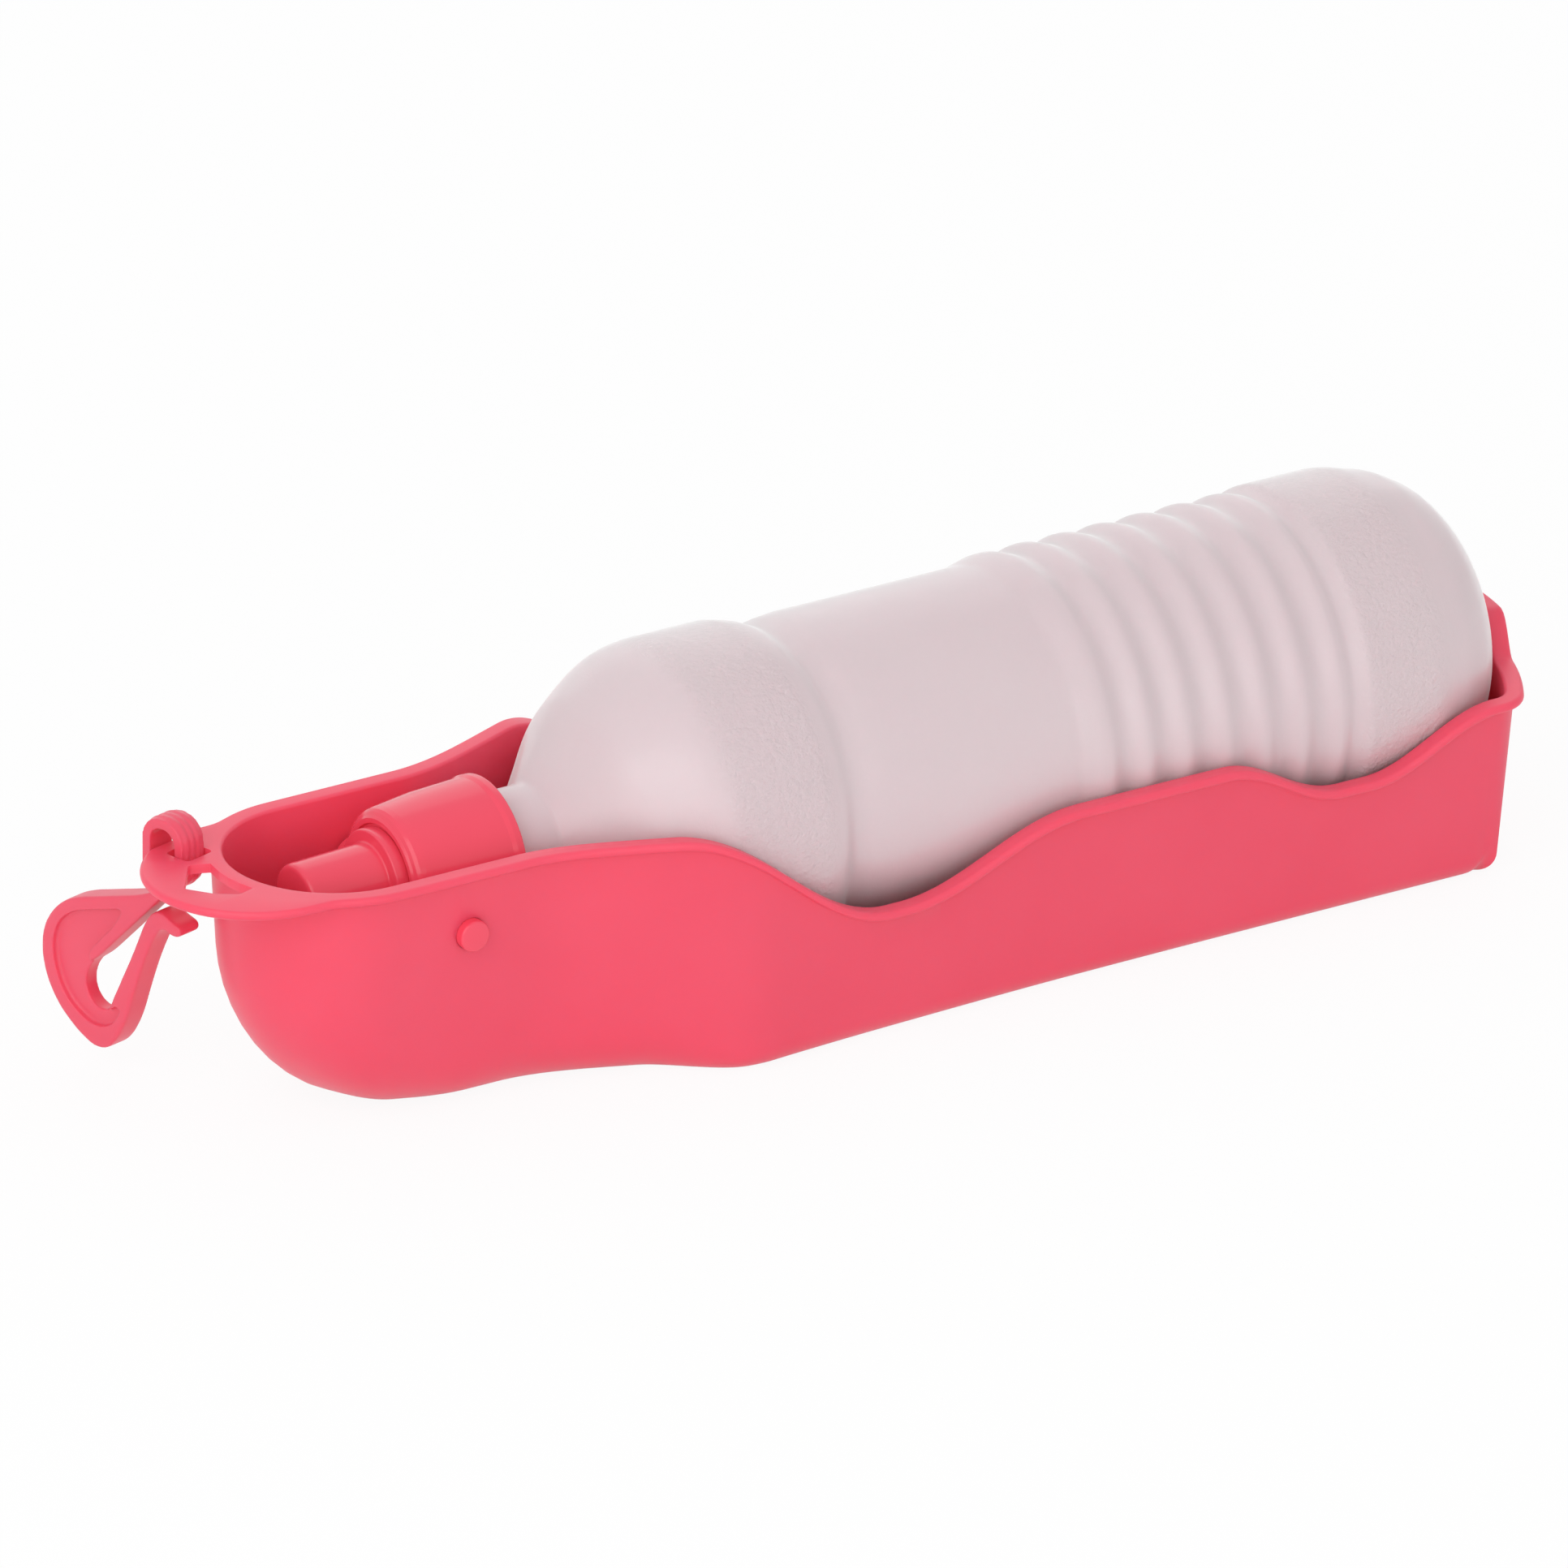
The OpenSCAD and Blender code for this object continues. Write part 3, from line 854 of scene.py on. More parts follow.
    def stand(self, place: Station, inset: float) -> Point2:
        """Where a station stands on the y < 0 side.

        Args:
            place: the station.
            inset: distance inward from the wall.

        Returns:
            Its x and y.
        """
        v = place.value
        if place.stretch is Stretch.NOSE:
            a = math.radians(v)
            foot = Vector((self.nose_x - self.nose_w * math.sin(a), -self.nose_w * math.cos(a)))
            inward = Vector((math.sin(a), math.cos(a)))
            share = smooth(inset / self.turn_in)
            return tuple(foot + inset * ((1 - share) * inward - share * foot.normalized()))
        if place.stretch is Stretch.SIDE:
            bend, start = self.spine_bend, self.shift_x
            (_, end, _, _), (_, end_0, _, _) = self.corner(inset), self.corner(0)
            x = v if v < start else start + (v - start) * (end - start) / (end_0 - start)
            width = self.half_width(v)
            spine = v if v > bend else 0.0 if v < -bend else (v + bend) ** 2 / (4 * bend)
            to_spine = Vector((spine - v, width)).normalized()
            share = smooth(inset / self.turn_in) if v < bend else 0.0
            inward = (1 - share) * Vector((0, 1)) + share * to_spine
            return tuple(Vector((x, -width)) + inset * inward)
        radius, centre_x, centre_y, turn = self.corner(inset)
        if place.stretch is Stretch.CORNER:
            a = math.radians(90 + (turn - 90) * v)
            return (centre_x + radius * math.cos(a), -centre_y - radius * math.sin(a))
        a = math.radians(turn * v)
        return (self.end_x - self.end_radius + (self.end_radius - inset) * math.cos(a),
                -(self.end_radius - inset) * math.sin(a))

    def fillet_size(self, place: Station) -> Point2:
        """Sizes of the rounding between wall and floor.

        Args:
            place: the station.

        Returns:
            Its sizes across and up.
        """
        travel = nose = bulge = 0.0
        if place.stretch is Stretch.NOSE:
            travel = self.tip_from - self.nose_x + self.nose_w * math.radians(place.value)
            nose = 1.0
        elif place.stretch is Stretch.SIDE:
            travel = self.tip_from - place.value
            nose = 1 - passed(place.value, self.fillet_run)
        elif place.stretch is Stretch.CORNER:
            bulge = math.sin(math.pi * place.value)
        tip = passed(travel, self.tip_run)
        across, up = (plain + at_nose * nose + at_tip * tip + at_corner * bulge
                      for plain, at_nose, at_tip, at_corner in zip(
                          self.fillet_plain, self.fillet_nose, self.fillet_tip,
                          self.fillet_corner))
        return across, up

    def slope(self, place: Station, z: float) -> float:
        """Inset of the sloping wall at a height."""
        return (self.reference_z(place) - z) * math.tan(math.radians(self.draft(place)))

    def fillet(self, place: Station, start: float, low: float, less: float) -> List[Point2]:
        """Rounding from the floor up to the wall.

        Args:
            place: the station.
            start: inset of the wall's face at the reference height.
            low: height of the floor's face.
            less: how much smaller the rounding is than the outer one.

        Returns:
            Its points as (inset, height), floor first.
        """
        across, up = (max(size - less, self.fillet_least) for size in self.fillet_size(place))
        first = math.atan(math.tan(math.radians(self.draft(place))) * up / across)
        top = low + up
        base = start + self.slope(place, top - up * math.sin(first))
        points = []
        for i in range(self.fillet_steps + 1):
            a = math.pi / 2 + (first - math.pi / 2) * i / self.fillet_steps
            points.append((base + across * (math.cos(first) - math.cos(a)),
                           top - up * math.sin(a)))
        return points

    def overhang(self, place: Station) -> float:
        """How far the rim reaches out: a lip, growing into the flange at the nose.

        Args:
            place: the station.

        Returns:
            The reach outward from the wall.
        """
        if place.stretch is not Stretch.NOSE:
            return self.lip_out
        a = math.radians(place.value)
        gap = self.nose_x - self.flange_x
        ring = gap * math.sin(a) + math.sqrt(self.flange_r ** 2 - (gap * math.cos(a)) ** 2)
        lip = self.nose_w + self.lip_out
        merge = self.flange_merge
        return (ring ** merge + lip ** merge) ** (1 / merge) - self.nose_w

    def profile(self, place: Station) -> List[Point2]:
        """Section of the tray at a station.

        Args:
            place: the station.

        Returns:
            Points as (inset, height), from the outer floor over the rim to the inner floor.
        """
        top = self.rim(*self.stand(place, 0))
        at_top = self.slope(place, top)
        out, t, lip = self.overhang(place), self.wall, self.lip_t
        if place.stretch is Stretch.CORNER:
            t -= self.end_thinner * place.value
        elif place.stretch is Stretch.END:
            t -= self.end_thinner
        outer = self.fillet(place, 0, 0, 0)
        inner = self.fillet(place, t, self.floor, self.floor * 0.8)
        foot, head = outer[-1][1], top - lip - (self.under_r + 0.1)
        wall = [(self.slope(place, z), z) for z in
                (foot + (head - foot) * k / 4 for k in (1, 2, 3, 4))]
        r = self.under_r
        under = arc((at_top - r, top - lip - r), (r, r), 15, 90, 3)
        r = self.edge_r
        edge = arc((at_top - out + r, top - lip / 2), (r, lip / 2), 270, 90, 8)
        brim = [(at_top - out * 0.35, top), (at_top + 0.2, top)]
        r = self.brim_r
        inside = arc((at_top + t - r, top - r), (r, r), 90, 5, 5)
        foot, head = inner[-1][1], top - (r + 0.3)
        face = [(t + self.slope(place, z), z) for z in
                (head + (foot - head) * k / 5 for k in (1, 2, 3, 4))]
        return outer + wall + under + edge + brim + inside + face + inner[::-1]

    def stations(self) -> List[Station]:
        """Stations round one half of the plan, nose tip first.

        Returns:
            The stations in order.
        """
        nose, side, corner, end = self.counts
        _, last_x, _, _ = self.corner(0)
        places = [Station(Stretch.NOSE, 90 - 90 * i / nose) for i in range(nose)]
        places += [Station(Stretch.SIDE, self.nose_x + (last_x - self.nose_x) * i / side)
                   for i in range(side)]
        places += [Station(Stretch.CORNER, i / corner) for i in range(corner)]
        places += [Station(Stretch.END, 1 - i / end) for i in range(end + 1)]
        return places

    def shell(self) -> bpy.types.Mesh:
        """Closed shell of the trough with its rim and flange.

        Returns:
            The mesh: sections joined all the way round, and both floors filled.
        """
        places = self.stations()
        near = [[(*self.stand(p, q), z) for q, z in self.profile(p)] for p in places]
        far = [[(x, -y, z) for x, y, z in ring] for ring in near[-2:0:-1]]
        loop = near + far
        total, width = len(loop), len(loop[0])
        points = [p for ring in loop for p in ring]
        low, high = len(points), len(points) + 1
        points += [(self.fan_x, 0.0, 0.0), (self.fan_x, 0.0, self.floor)]

        def at(i: int, j: int) -> int:
            """Number of point j of section i, counted round the whole loop."""
            return (i % total) * width + j

        faces: List[List[int]] = []
        for i in range(total):
            for j in range(width - 1):
                faces.append([at(i, j), at(i, j + 1), at(i + 1, j + 1), at(i + 1, j)])
        # the bowl's floor is a fan round one point, the trough's a row of strips
        fan = self.counts[0] + int(self.counts[1] * self.fan_share)
        for i in range(-fan, fan):
            faces.append([at(i, 0), at(i + 1, 0), low])
            faces.append([at(i + 1, width - 1), at(i, width - 1), high])
        faces.append([at(fan, 0), at(-fan, 0), low])
        faces.append([at(-fan, width - 1), at(fan, width - 1), high])
        for i in range(fan, len(places) - 1):
            for j in (0, width - 1):
                ring = [at(i, j), at(i + 1, j), at(-i - 1, j), at(-i, j)]
                faces.append(list(dict.fromkeys(ring)))
        return make_mesh("tray", points, faces)

    def finger_cutter(self) -> bpy.types.Mesh:
        """Cutter of the slot in the middle of the flange.

        Returns:
            The cutter: it follows the bowl's wall on its inner side.
        """
        reach = self.nose_w + 1
        inner = tuple((self.nose_x - reach * math.cos(math.radians(a)),
                       reach * math.sin(math.radians(a)), 0.3) for a in self.finger_angles)
        return prism("finger_slot", rounded(inner + self.finger_front), *self.through_flange)

    def strap_cutter(self, corners: Sequence[Point3]) -> bpy.types.Mesh:
        """Cutter of a hole or recess that the clip's strap passes through.

        Args:
            corners: (along the flange's edge, outward, fillet radius) from the strap's place.

        Returns:
            The cutter.
        """
        start, turn = Vector(STRAP_PLACE), Matrix.Rotation(math.radians(STRAP_TURN), 2)
        outline = [(*(start + turn @ Vector((along, out))), radius)
                   for along, out, radius in corners]
        return prism("strap_slot", rounded(outline), *self.through_flange)

    def pin_cutter(self, side: int) -> bpy.types.Mesh:
        """Cutter of the round hole of one pivot pin.

        Args:
            side: 1 or -1 for the wall it cuts.

        Returns:
            The cutter.
        """
        ring = arc((0, 0), (self.pin_hole, self.pin_hole), 0, 360, 64)[:-1]
        mesh = prism("pin_hole", ring, *self.hole_run)
        mesh.transform(Matrix.Translation((PIVOT[0] * MM, 0, PIVOT[1] * MM))
                       @ Matrix.Rotation(math.radians(-90 * side), 4, "X"))
        return mesh

    def build(self, finish: bpy.types.Material) -> None:
        """Makes the tray and cuts its slots and holes.

        Args:
            finish: its material.
        """
        tray = make_object("tray_shell", self.shell())
        for cutter in (self.finger_cutter(), self.strap_cutter(self.strap_slot),
                       self.strap_cutter(self.strap_recess), self.pin_cutter(1),
                       self.pin_cutter(-1)):
            combine(tray, cutter, Cut.TAKE_AWAY)
        break_edges(tray, self.edge)
        declare(tray, finish, "tray_body", "tray")


# ------------------------------------------------------------------ bottle
@dataclass
class Bottle:
    """The squeeze bottle: neck, shoulder, two grained bands, grip rings and base.

    All sizes are in millimetres.
    """
    radius: float = 32.1
    panel: float = 30.3
    crest: float = 31.6
    groove: float = 1.2
    first_ring: float = 136.0
    pitch: float = 8.4
    rings: int = 6
    ring_step: float = 0.42
    skin: float = 1.2
    neck: float = 11.1
    neck_bore: float = 9.1
    base_x: float = 227.1
    dome: float = 6.0
    sides: int = 128

    def wall_outline(self) -> List[Point2]:
        """Outer outline from the neck's mouth to the base, without the grooves.

        Returns:
            Points as (along, radius).
        """
        r, p, c = self.radius, self.panel, self.crest
        neck = [(4.0, self.neck - 0.4), (4.4, self.neck), (29.6, self.neck)]
        shoulder = through([(29.6, self.neck), (30.5, 11.35), (31.6, 12.3), (36.6, 17.7),
                            (40.6, 22.2), (42.7, 24.2), (45.7, 26.3), (50.2, 29.1),
                            (53.4, 30.7), (56.0, 31.5), (58.8, 31.95), (61, r)], 0.7)
        front = through([(74.6, r), (76.0, r - 0.25), (79.2, (r + p) / 2 - 0.2), (82.3, p - 0.75),
                         (84.6, p - 0.8), (88.0, p - 0.3), (91.5, p)], 0.6)
        panel = through([(129.5, p), (130.4, p + 0.1), (132.4, (c + p) / 2), (134.6, c - 0.1),
                         (135.6, c)], 0.5)
        steps = int(self.pitch * self.rings / self.ring_step)
        end = self.first_ring + self.pitch * self.rings
        grip = [(self.first_ring + (end - self.first_ring) * i / steps, c)
                for i in range(steps + 1)]
        rear = through([(end, c), (187.6, c - 0.25), (189.2, c - 0.75), (190.8, c - 0.3),
                        (192.4, r - 0.1), (193.6, r)], 0.5)
        base = through([(206.4, r), (208.6, 31.8), (212, 30.9), (215.4, 29.9), (218.8, 28.1),
                        (221, 26.6), (223.5, 24), (225.3, 21.3), (226.5, 18.6),
                        (self.base_x, 15.6)], 0.7)
        return neck + shoulder[1:] + front + panel + grip + rear[1:] + base

    def outline(self) -> List[Point2]:
        """Closed outline of the hollow bottle.

        Returns:
            Points as (along, radius).
        """
        t, b, d = self.skin, self.base_x, self.dome
        outer = self.wall_outline()
        under = through([(b, 14.2), (b - 0.9, 12), (b - d * 0.6, 7), (b - d, 0)], 0.9)
        over = [(b - d - t, 0), (b - d * 0.6 - t, 7), (b - 0.9 - t, 12), (b - t - 0.2, 14.6)]
        # the inner wall follows every third outer point, set back at the base and the shoulder
        inside = [(x - 0.5 * t * (x > 208) + 0.6 * (30 < x < 58), r - t)
                  for x, r in outer[::-3] if 32 < x < b - 0.8 and r > 15]
        bore = [(31.5, self.neck_bore), (outer[0][0], self.neck_bore)]
        return outer + under[:-1] + [(b - d, 0)] + over + inside + bore

    def ring_tree(self) -> bpy.types.NodeTree:
        """Geometry tree that sinks evenly spaced grooves into a turned wall.

        Returns:
            The tree, with inputs for the grooves' place, spacing, number and depth.
        """
        sizes = ("First crest", "Pitch", "Grooves", "Depth", "Axis height")
        tree, nodes, given = begin_tree("grip_rings", dict.fromkeys(sizes, "Float"))
        split = nodes.add("ShaderNodeSeparateXYZ", {
            0: nodes.add("GeometryNodeInputPosition").outputs[0]}).outputs
        # whole turns past the first crest, held to the number of grooves, become a wave
        depth = split["X"]
        for operation, number in (
                ("SUBTRACT", given["First crest"]), ("DIVIDE", given["Pitch"]),
                ("MAXIMUM", 0.0), ("MINIMUM", given["Grooves"]), ("MULTIPLY", 2 * math.pi),
                ("COSINE", 0.0), ("MULTIPLY", 0.5), ("SUBTRACT", 0.5),
                ("MULTIPLY", given["Depth"])):
            depth = nodes.add("ShaderNodeMath", {0: depth, 1: number},
                              operation=operation).outputs[0]
        up = nodes.add("ShaderNodeMath", {0: split["Z"], 1: given["Axis height"]},
                       operation="SUBTRACT").outputs[0]
        radial = nodes.add("ShaderNodeCombineXYZ", {"Y": split["Y"], "Z": up}).outputs[0]
        unit = nodes.add("ShaderNodeVectorMath", {0: radial}, operation="NORMALIZE").outputs[0]
        shift = nodes.add("ShaderNodeVectorMath", {0: unit, "Scale": depth},
                          operation="SCALE").outputs[0]
        move = nodes.add("GeometryNodeSetPosition", {"Geometry": given["Geometry"],
                                                     "Offset": shift})
        end_tree(nodes, move.outputs[0], given["Material"])
        return tree

    def build(self, finish: bpy.types.Material) -> None:
        """Makes the bottle with its grip rings.

        Args:
            finish: its material.
        """
        mesh = turned("bottle", self.outline(), self.sides)
        mesh.transform(Matrix.Translation((0, 0, AXIS_Z * MM)))
        bottle = make_object("bottle_body", mesh)
        values = {"First crest": self.first_ring * MM, "Pitch": self.pitch * MM,
                  "Grooves": float(self.rings), "Depth": self.groove * MM,
                  "Axis height": AXIS_Z * MM, "Material": finish}
        grow(bottle, self.ring_tree(), values)
        declare(bottle, finish, "bottle_body", "bottle")


# ------------------------------------------------------------------ cap and spout
@dataclass
class Closure:
    """The screw cap with its pivot pins, and the pull spout on its post.

    All sizes are in millimetres.
    """
    skirt_r: float = 15.05
    shoulder_r: float = 13.2
    bore_r: float = 11.16
    seat_x: float = -1.3
    face_x: float = -1.9
    post_r: float = 5.0
    plug_r: float = 1.9
    plug_run: Point2 = (-20, -15)
    plug_sides: int = 32
    ring_r: float = 10.1
    ring_x: float = -4.1
    spout_r: float = 7.6
    spout_l: float = 16.2
    spout_gap: float = 0.06
    stand_off: float = 0.05
    pin_r: float = 3.05
    pin_start: float = 11.5
    pin_end: float = 23.8
    collar: float = 1.5
    collar_end: float = 18.8
    pin_sides: int = 64
    sides: int = 96

    def cap_outline(self) -> List[Point2]:
        """Closed outline of the cap and the post in front of it.

        Returns:
            Points as (along, radius).
        """
        s, h, b, p = self.skirt_r, self.shoulder_r, self.bore_r, self.post_r
        post = [(-15.5, 0, 0), (-15.5, p - 0.3, 0.4), (-15.0, p, 0.4), (-10.2, p, 0.1),
                (-9.3, p + 0.35, 0.1), (-8.7, p + 0.35, 0.05), (-8.6, p, 0.05)]
        face = [(self.seat_x, p, 0.15), (self.seat_x, self.ring_r + 0.45, 0.2),
                (self.face_x, self.ring_r + 0.65, 0.2), (self.face_x, h - 1.5, 0.25),
                (-1.45, h - 1.05, 0.15), (-1.1, h - 0.45, 0.15)]
        skirt = [(-0.5, h, 0.25), (0.6, h + 0.25, 0.3), (8.0, h + 1.15, 0), (18.4, s - 0.2, 0.6),
                 (19.3, s + 0.15, 0.4), (20.8, s + 0.15, 0.45)]
        bore = [(20.8, b + 0.6, 0.15), (20.2, b, 0.1), (2.7, b, 0.2), (2.7, 7.4, 0.2),
                (1.0, 7.4, 0.3), (1.0, 3.8, 0.2), (-14.2, 3.8, 0.2), (-14.2, 0, 0)]
        return rounded(post + face + skirt + bore, steps=4)

    def spout_outline(self) -> List[Point2]:
        """Closed outline of the pull spout.

        Returns:
            Points as (along, radius).
        """
        bore, mouth = self.post_r + self.spout_gap, self.plug_r + self.spout_gap
        seat, x, r, tip = (self.seat_x - self.stand_off, self.ring_x, self.spout_r,
                           self.ring_x - self.spout_l)
        corners = [
            (seat, bore, 0.1), (seat, self.ring_r, 0.4), (x, self.ring_r, 0.55),
            (x, r + 0.05, 0.5), (tip, r - 0.55, 1.3), (tip, mouth, 0.5), (-17.2, mouth, 0.1),
            (-16.2, bore + 0.54, 0.1), (-3.6, bore + 0.54, 0.05), (-3.5, bore, 0.05)]
        return rounded(corners, steps=6)

    def pin(self, side: int) -> bpy.types.Mesh:
        """One pivot pin with its collar, turned about the pivot.

        Args:
            side: 1 or -1 for the wall it points to.

        Returns:
            The pin's mesh.
        """
        r, collar = self.pin_r, self.pin_r + self.collar
        outline = [(self.pin_start, 0, 0), (self.pin_start, collar, 0.1),
                   (self.collar_end, collar, 0.4), (self.collar_end, r, 0.15),
                   (self.pin_end, r, 0.55), (self.pin_end, 0, 0)]
        mesh = turned("pin", rounded(outline, steps=4), self.pin_sides)
        place = Matrix.Translation((PIVOT[0] * MM, 0, PIVOT[1] * MM))
        mesh.transform(place @ Matrix.Rotation(math.radians(90 * side), 4, "Z"))
        return mesh

    def build(self, finish: bpy.types.Material) -> None:
        """Makes the cap and the spout.

        Args:
            finish: the material of both.
        """
        (start, end), r = self.plug_run, self.plug_r
        plug = rounded([(start, 0, 0), (start, r, 0.3), (end, r, 0), (end, 0, 0)])
        meshes = [turned("cap", self.cap_outline(), self.sides),
                  turned("plug", plug, self.plug_sides),
                  turned("spout", self.spout_outline(), self.sides)]
        for mesh in meshes:
            mesh.transform(Matrix.Translation((0, 0, AXIS_Z * MM)))
        cap = make_object("cap_shell", joined("cap", [*meshes[:2], self.pin(1), self.pin(-1)]))
        spout = make_object("pull_spout", meshes[2])
        declare(cap, finish, "closure", "cap")
        declare(spout, finish, "spout_body", "spout")


# ------------------------------------------------------------------ clip
@dataclass
class Clip:
    """The one-piece hanging clip: flat hook, springy stem and ribbed strap loop.

    Sizes are in millimetres; the outlines are drawn flat, from the strap's place.
    """
    origin: Point3 = (*STRAP_PLACE, 39.8)
    width: float = 5.5
    strap_t: float = 2.0
    strap_w: float = 6.0
    panel_d: float = 1.2
    strap_centre: Point2 = (2.4, 8.2)
    strap_half: Point2 = (0.4, 2.3)
    strap_bend: float = 2.6
    ribs: int = 3
    rib_r: float = 0.9
    rib_sink: float = 0.6
    rib_sides: int = 14
    outline_step: float = 0.35
    voxel: float = 0.26
    body_rounds: int = 22
    whole_rounds: int = 6
    back: Tuple[Point2, ...] = (
        (-1.7, 7.2), (-1.0, 5.2), (0.7, 3.2), (3.2, 1.2), (6.4, -0.7), (9.6, -2.1), (12.9, -3.2),
        (19.4, -5.3), (23.9, -6.8), (27.3, -8.5), (30.3, -11.3), (32.3, -14.8), (33.0, -18.9),
        (32.5, -22.6), (31.2, -26.0), (28.7, -29.6), (25.6, -32.3), (22.4, -34.3), (19.4, -35.3),
        (16.8, -34.8), (14.7, -32.9))
    hook: Tuple[Point2, ...] = (
        (12.9, -30.0), (11.5, -26.8), (10.4, -23.4), (9.2, -19.9), (7.7, -15.8), (5.7, -11.2),
        (4.5, -8.9), (3.2, -7.3), (1.8, -6.9), (0.5, -7.4), (-0.8, -7.5), (-2.0, -6.7),
        (-1.9, -5.5), (-0.6, -4.9), (0.8, -4.5), (2.2, -3.9), (3.8, -3.7), (5.5, -4.7),
        (6.7, -6.3), (7.5, -7.8), (8.3, -9.7), (9.4, -12.3), (10.9, -15.6), (12.9, -19.8))
    eye: Tuple[Point2, ...] = (
        (15.0, -24.2), (16.0, -26.4), (17.9, -27.8), (20.2, -27.7), (22.0, -26.2), (22.8, -23.9),
        (22.4, -21.4), (21.0, -19.1))
    stem: Tuple[Point2, ...] = (
        (18.7, -17.1), (13.7, -12.0), (8.8, -6.9), (3.6, -1.5), (0.9, 1.0), (-1.0, 3.1),
        (-2.3, 5.2), (-2.7, 7.0))
    panel: Tuple[Point2, ...] = (
        (12.9, -6.2), (17.0, -7.2), (21.0, -8.4), (25.4, -10.2), (28.3, -12.7), (29.8, -16.0),
        (30.0, -19.4), (29.1, -23.1), (27.1, -26.8), (23.9, -29.5), (19.8, -30.9), (16.1, -30.1),
        (14.1, -28.0), (13.4, -26.2), (14.5, -26.0), (16.4, -27.0), (17.6, -26.0), (19.0, -24.5),
        (20.0, -21.0), (20.9, -17.2), (17.8, -13.1), (14.6, -9.5))

    def frame(self) -> Matrix:
        """Places the flat drawing: x toward +Y, y up, and the width toward +X.

        Returns:
            The matrix, in metres.
        """
        drawing = Matrix(((0, 0, 1, 0), (1, 0, 0, 0), (0, 1, 0, 0), (0, 0, 0, 1)))
        place = Matrix.Translation([c * MM for c in self.origin])
        return place @ Matrix.Rotation(math.radians(STRAP_TURN), 4, "Z") @ drawing

    def loop(self, offset: float) -> List[Point2]:
        """Rounded rectangle of the strap.

        Args:
            offset: distance from the centres of its four bends.

        Returns:
            Its points in order.
        """
        cx, cy = self.strap_centre
        hx, hy = self.strap_half
        points: List[Point2] = []
        for sx, sy, start in ((1, 1, 0), (-1, 1, 90), (-1, -1, 180), (1, -1, 270)):
            points += arc((cx + sx * hx, cy + sy * hy), (offset, offset), start, start + 90, 12)
        return points

    def strap(self) -> bpy.types.Mesh:
        """Band of the strap loop.

        Returns:
            Its closed mesh.
        """
        outer, inner = self.loop(self.strap_bend + self.strap_t), self.loop(self.strap_bend)
        count = len(outer)
        points = [(*p, z) for ring in (outer, inner) for z in (0.0, self.strap_w) for p in ring]
        # four rings of points: outer low, outer high, inner low, inner high
        faces = []
        for i in range(count):
            n = (i + 1) % count
            for a, b in ((0, 1), (3, 2), (2, 0), (1, 3)):
                faces.append([a * count + i, a * count + n, b * count + n, b * count + i])
        return make_mesh("strap", points, faces)

    def rib_tree(self) -> bpy.types.NodeTree:
        """Geometry tree that lays evenly spaced ribs along a path.

        Returns:
            The tree, with inputs for the number, spacing and radius of the ribs.
        """
        tree, nodes, given = begin_tree(
            "strap_ribs", {"Ribs": "Int", "Spacing": "Float", "Rib radius": "Float"})
        ring = nodes.add("GeometryNodeCurvePrimitiveCircle", {"Resolution": self.rib_sides,
                                                              "Radius": given["Rib radius"]})
        path = nodes.add("GeometryNodeMeshToCurve", {"Mesh": given["Geometry"]})
        rib = nodes.add("GeometryNodeCurveToMesh", {"Curve": path.outputs[0],
                                                    "Profile Curve": ring.outputs[0]})
        step = nodes.add("ShaderNodeCombineXYZ", {"Z": given["Spacing"]})
        row = nodes.add("GeometryNodeMeshLine", {"Count": given["Ribs"],
                                                 "Offset": step.outputs[0]})
        spread = nodes.add("GeometryNodeInstanceOnPoints", {"Points": row.outputs[0],
                                                            "Instance": rib.outputs[0]})
        end_tree(nodes, spread.outputs[0], given["Material"])
        return tree

    def rib_mesh(self, finish: bpy.types.Material) -> bpy.types.Mesh:
        """Fine ribs round the outside of the strap.

        Args:
            finish: their material.

        Returns:
            Their mesh.
        """
        spacing = self.strap_w / (self.ribs + 1)
        ring = self.loop(self.strap_bend + self.strap_t - self.rib_sink)
        path = bpy.data.meshes.new("rib_path")
        path.from_pydata([(x * MM, y * MM, spacing * MM) for x, y in ring],
                         [(i, (i + 1) % len(ring)) for i in range(len(ring))], [])
        carrier = make_object("rib_carrier", path)
        grow(carrier, self.rib_tree(), {"Ribs": self.ribs, "Spacing": spacing * MM,
                                        "Rib radius": self.rib_r * MM, "Material": finish})
        mesh = carrier.data
        bpy.data.objects.remove(carrier)
        return mesh

    def cast(self, obj: bpy.types.Object, rounds: int) -> None:
        """Melts an object into one skin and softens its edges.

        Args:
            obj: the object.
            rounds: how often the skin is smoothed.
        """
        remesh = obj.modifiers.new("cast", "REMESH")
        remesh.mode = "VOXEL"
        remesh.voxel_size = self.voxel * MM
        soften = obj.modifiers.new("soften", "SMOOTH")
        soften.factor = 0.5
        soften.iterations = rounds
        settle(obj)

    def body(self, finish: bpy.types.Material) -> bpy.types.Object:
        """Hook, stem and strap as one soft-edged solid, with a sunk panel on both sides.

        Args:
            finish: its material, which the ribs' tree puts on.

        Returns:
            The clip, still lying in its flat drawing.
        """
        outline = through(self.back + self.hook + self.eye + self.stem, self.outline_step,
                          closed=True)
        clip = make_object("clip_body", prism("clip", outline, 0, self.width))
        self.cast(clip, self.body_rounds)
        panel = through(self.panel, self.outline_step, closed=True)
        for low in (-1.0, self.width - self.panel_d):
            combine(clip, prism("panel", panel, low, low + 1 + self.panel_d), Cut.TAKE_AWAY)
        combine(clip, self.strap(), Cut.ADD)
        clip.data = joined("clip", [clip.data, self.rib_mesh(finish)])
        self.cast(clip, self.whole_rounds)
        return clip

    def build(self, finish: bpy.types.Material) -> None:
        """Makes the clip.

        Args:
            finish: its material.
        """
        clip = self.body(finish)
        clip.data.transform(self.frame())
        declare(clip, finish, "clip_body", "clip")


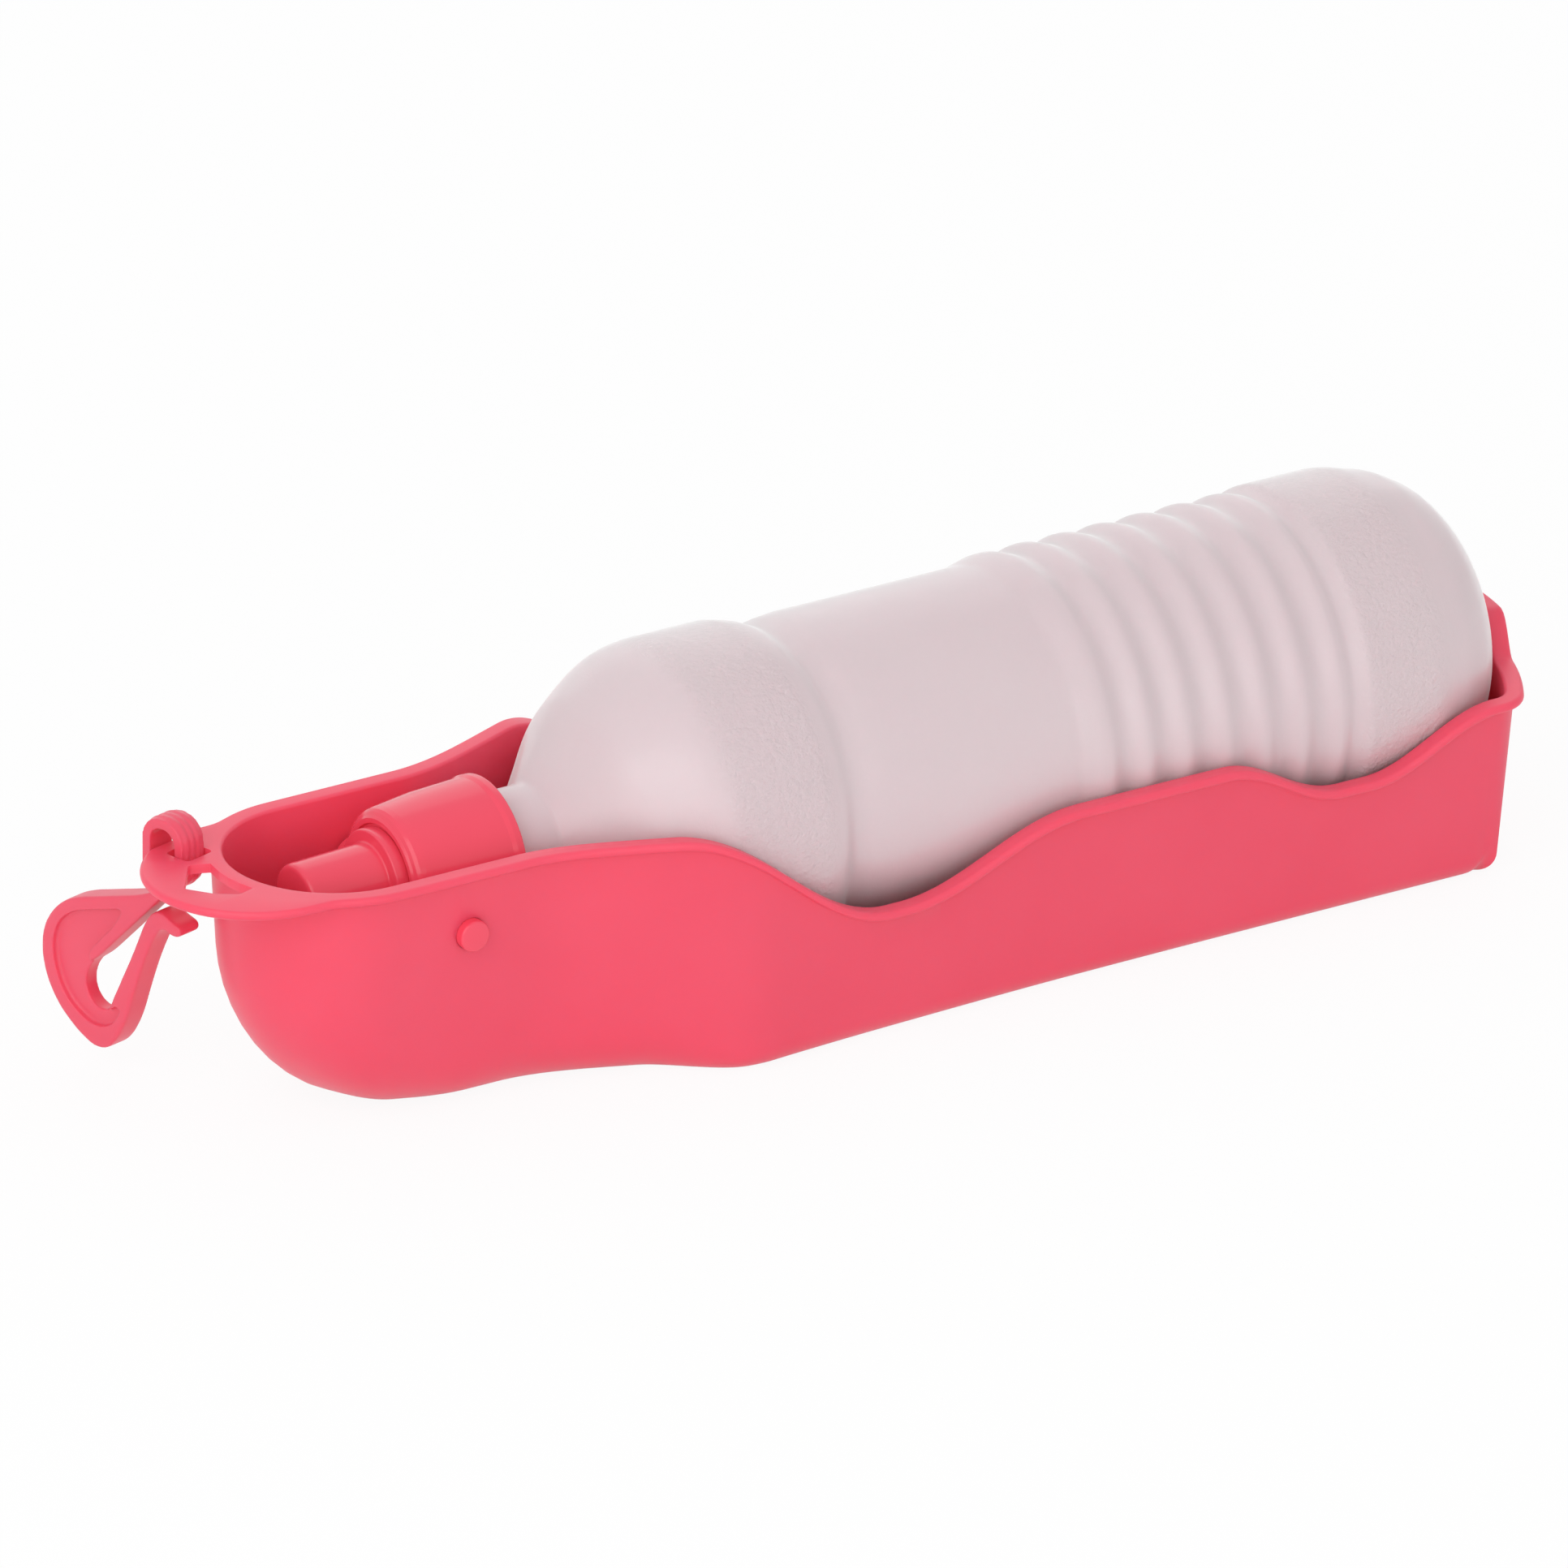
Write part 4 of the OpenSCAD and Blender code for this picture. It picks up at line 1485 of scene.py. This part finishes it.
# ------------------------------------------------------------------ studio
@dataclass(frozen=True)
class Lamp:
    """One square soft lamp.

    Attributes:
        name: which lamp it is.
        azimuth: direction it stands in, in degrees to the left of the front.
        elevation: its height over the floor in degrees.
        away: its distance in metres.
        size: length of its sides in metres.
        power: its power in watts.
    """
    name: str
    azimuth: float
    elevation: float
    away: float
    size: float
    power: float


@dataclass
class Studio:
    """Camera, soft lamps, white world and pale floor, in metres and degrees."""
    target: Point3 = (0.08502, 0.0, 0.03879)
    azimuth: float = 31.962
    elevation: float = 23.751
    distance: float = 13.0
    seen_from_to: Point2 = (0.5, 60)
    pixels_per_mm: float = 6.7242
    picture: int = 1932
    sensor: float = 36.0
    ambient: float = 0.74
    floor_white: float = 0.92
    floor_grey: float = 0.95
    floor_half: float = 12.0
    lamps: Tuple[Lamp, ...] = (Lamp("key", 60, 32, 1.6, 1.3, 8.1),
                               Lamp("front", 20, 8, 1.8, 1.4, 4.8),
                               Lamp("back", 205, 30, 1.8, 1.6, 4))

    def aim(self, obj: bpy.types.Object, azimuth: float, elevation: float, away: float) -> None:
        """Stands an object to the left of the front and turns it to the target.

        Args:
            obj: camera or lamp.
            azimuth: how far to the left, in degrees.
            elevation: how far up, in degrees.
            away: its distance in metres.
        """
        bpy.context.scene.collection.objects.link(obj)
        a, e = math.radians(azimuth), math.radians(elevation)
        back = Vector((-math.sin(a) * math.cos(e), -math.cos(a) * math.cos(e), math.sin(e)))
        obj.location = Vector(self.target) + back * away
        obj.rotation_euler = back.to_track_quat("Z", "Y").to_euler()

    def camera(self) -> None:
        """Puts up a long lens at the viewing angle."""
        data = bpy.data.cameras.new("camera")
        data.sensor_width = self.sensor
        data.lens = self.pixels_per_mm * self.distance * 1000 / self.picture * self.sensor
        data.clip_start, data.clip_end = self.seen_from_to
        obj = bpy.data.objects.new("camera", data)
        self.aim(obj, self.azimuth, self.elevation, self.distance)
        bpy.context.scene.camera = obj

    def light(self, lamp: Lamp) -> None:
        """Puts up one lamp.

        Args:
            lamp: the lamp.
        """
        data = bpy.data.lights.new(lamp.name, "AREA")
        data.energy = lamp.power
        data.size = lamp.size
        self.aim(bpy.data.objects.new(lamp.name, data), lamp.azimuth, lamp.elevation, lamp.away)

    def world(self) -> None:
        """White surroundings, plain white where they are seen."""
        world = bpy.data.worlds.new("studio")
        world.use_nodes = True
        bpy.context.scene.world = world
        nodes = Nodes(world.node_tree)
        light = nodes.add("ShaderNodeBackground", {"Color": WHITE, "Strength": self.ambient})
        seen = nodes.add("ShaderNodeBackground", {"Color": WHITE, "Strength": 1.0})
        path = nodes.add("ShaderNodeLightPath").outputs
        direct = nodes.add("ShaderNodeMath", {0: path["Is Camera Ray"],
                                              1: path["Is Transmission Ray"]},
                           operation="MAXIMUM").outputs[0]
        mix = nodes.add("ShaderNodeMixShader", {0: direct, 1: light.outputs[0],
                                                2: seen.outputs[0]})
        nodes.add("ShaderNodeOutputWorld", {"Surface": mix.outputs[0]})

    def floor(self) -> None:
        """Pale floor that keeps the object's shadow."""
        half = self.floor_half
        mesh = bpy.data.meshes.new("floor")
        mesh.from_pydata([(-half, -half, 0), (half, -half, 0), (half, half, 0), (-half, half, 0)],
                         [], [(0, 1, 2, 3)])
        floor = make_object("floor", mesh)
        material, nodes = new_material("pale_floor")
        grey = (self.floor_grey, self.floor_grey, self.floor_grey, 1.0)
        matt = nodes.add("ShaderNodeBsdfDiffuse", {"Color": grey})
        white = nodes.add("ShaderNodeEmission", {"Color": WHITE})
        path = nodes.add("ShaderNodeLightPath").outputs
        direct = nodes.add("ShaderNodeMath", {0: path["Is Camera Ray"], 1: path["Is Glossy Ray"]},
                           operation="MAXIMUM").outputs[0]
        share = nodes.add("ShaderNodeMath", {0: direct, 1: self.floor_white},
                          operation="MULTIPLY").outputs[0]
        mix = nodes.add("ShaderNodeMixShader", {0: share, 1: matt.outputs[0],
                                                2: white.outputs[0]})
        nodes.add("ShaderNodeOutputMaterial", {"Surface": mix.outputs[0]})
        dress(floor, material)

    def build(self) -> None:
        """Sets the whole studio up."""
        self.camera()
        self.world()
        self.floor()
        for lamp in self.lamps:
            self.light(lamp)
        bpy.context.scene.view_settings.view_transform = "Standard"


def main() -> None:
    """Builds the object and the studio in order."""
    logging.basicConfig(level=logging.INFO, format="%(message)s")
    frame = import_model()
    finishes = Finishes()
    Studio().build()
    Tray().build(finishes.tray.build())
    Bottle().build(finishes.bottle.build())
    Closure().build(finishes.cap.build())
    Clip().build(finishes.clip.build())
    dress(frame["nodes"]["seal"], finishes.seal.build())


if __name__ == "__main__":
    main()
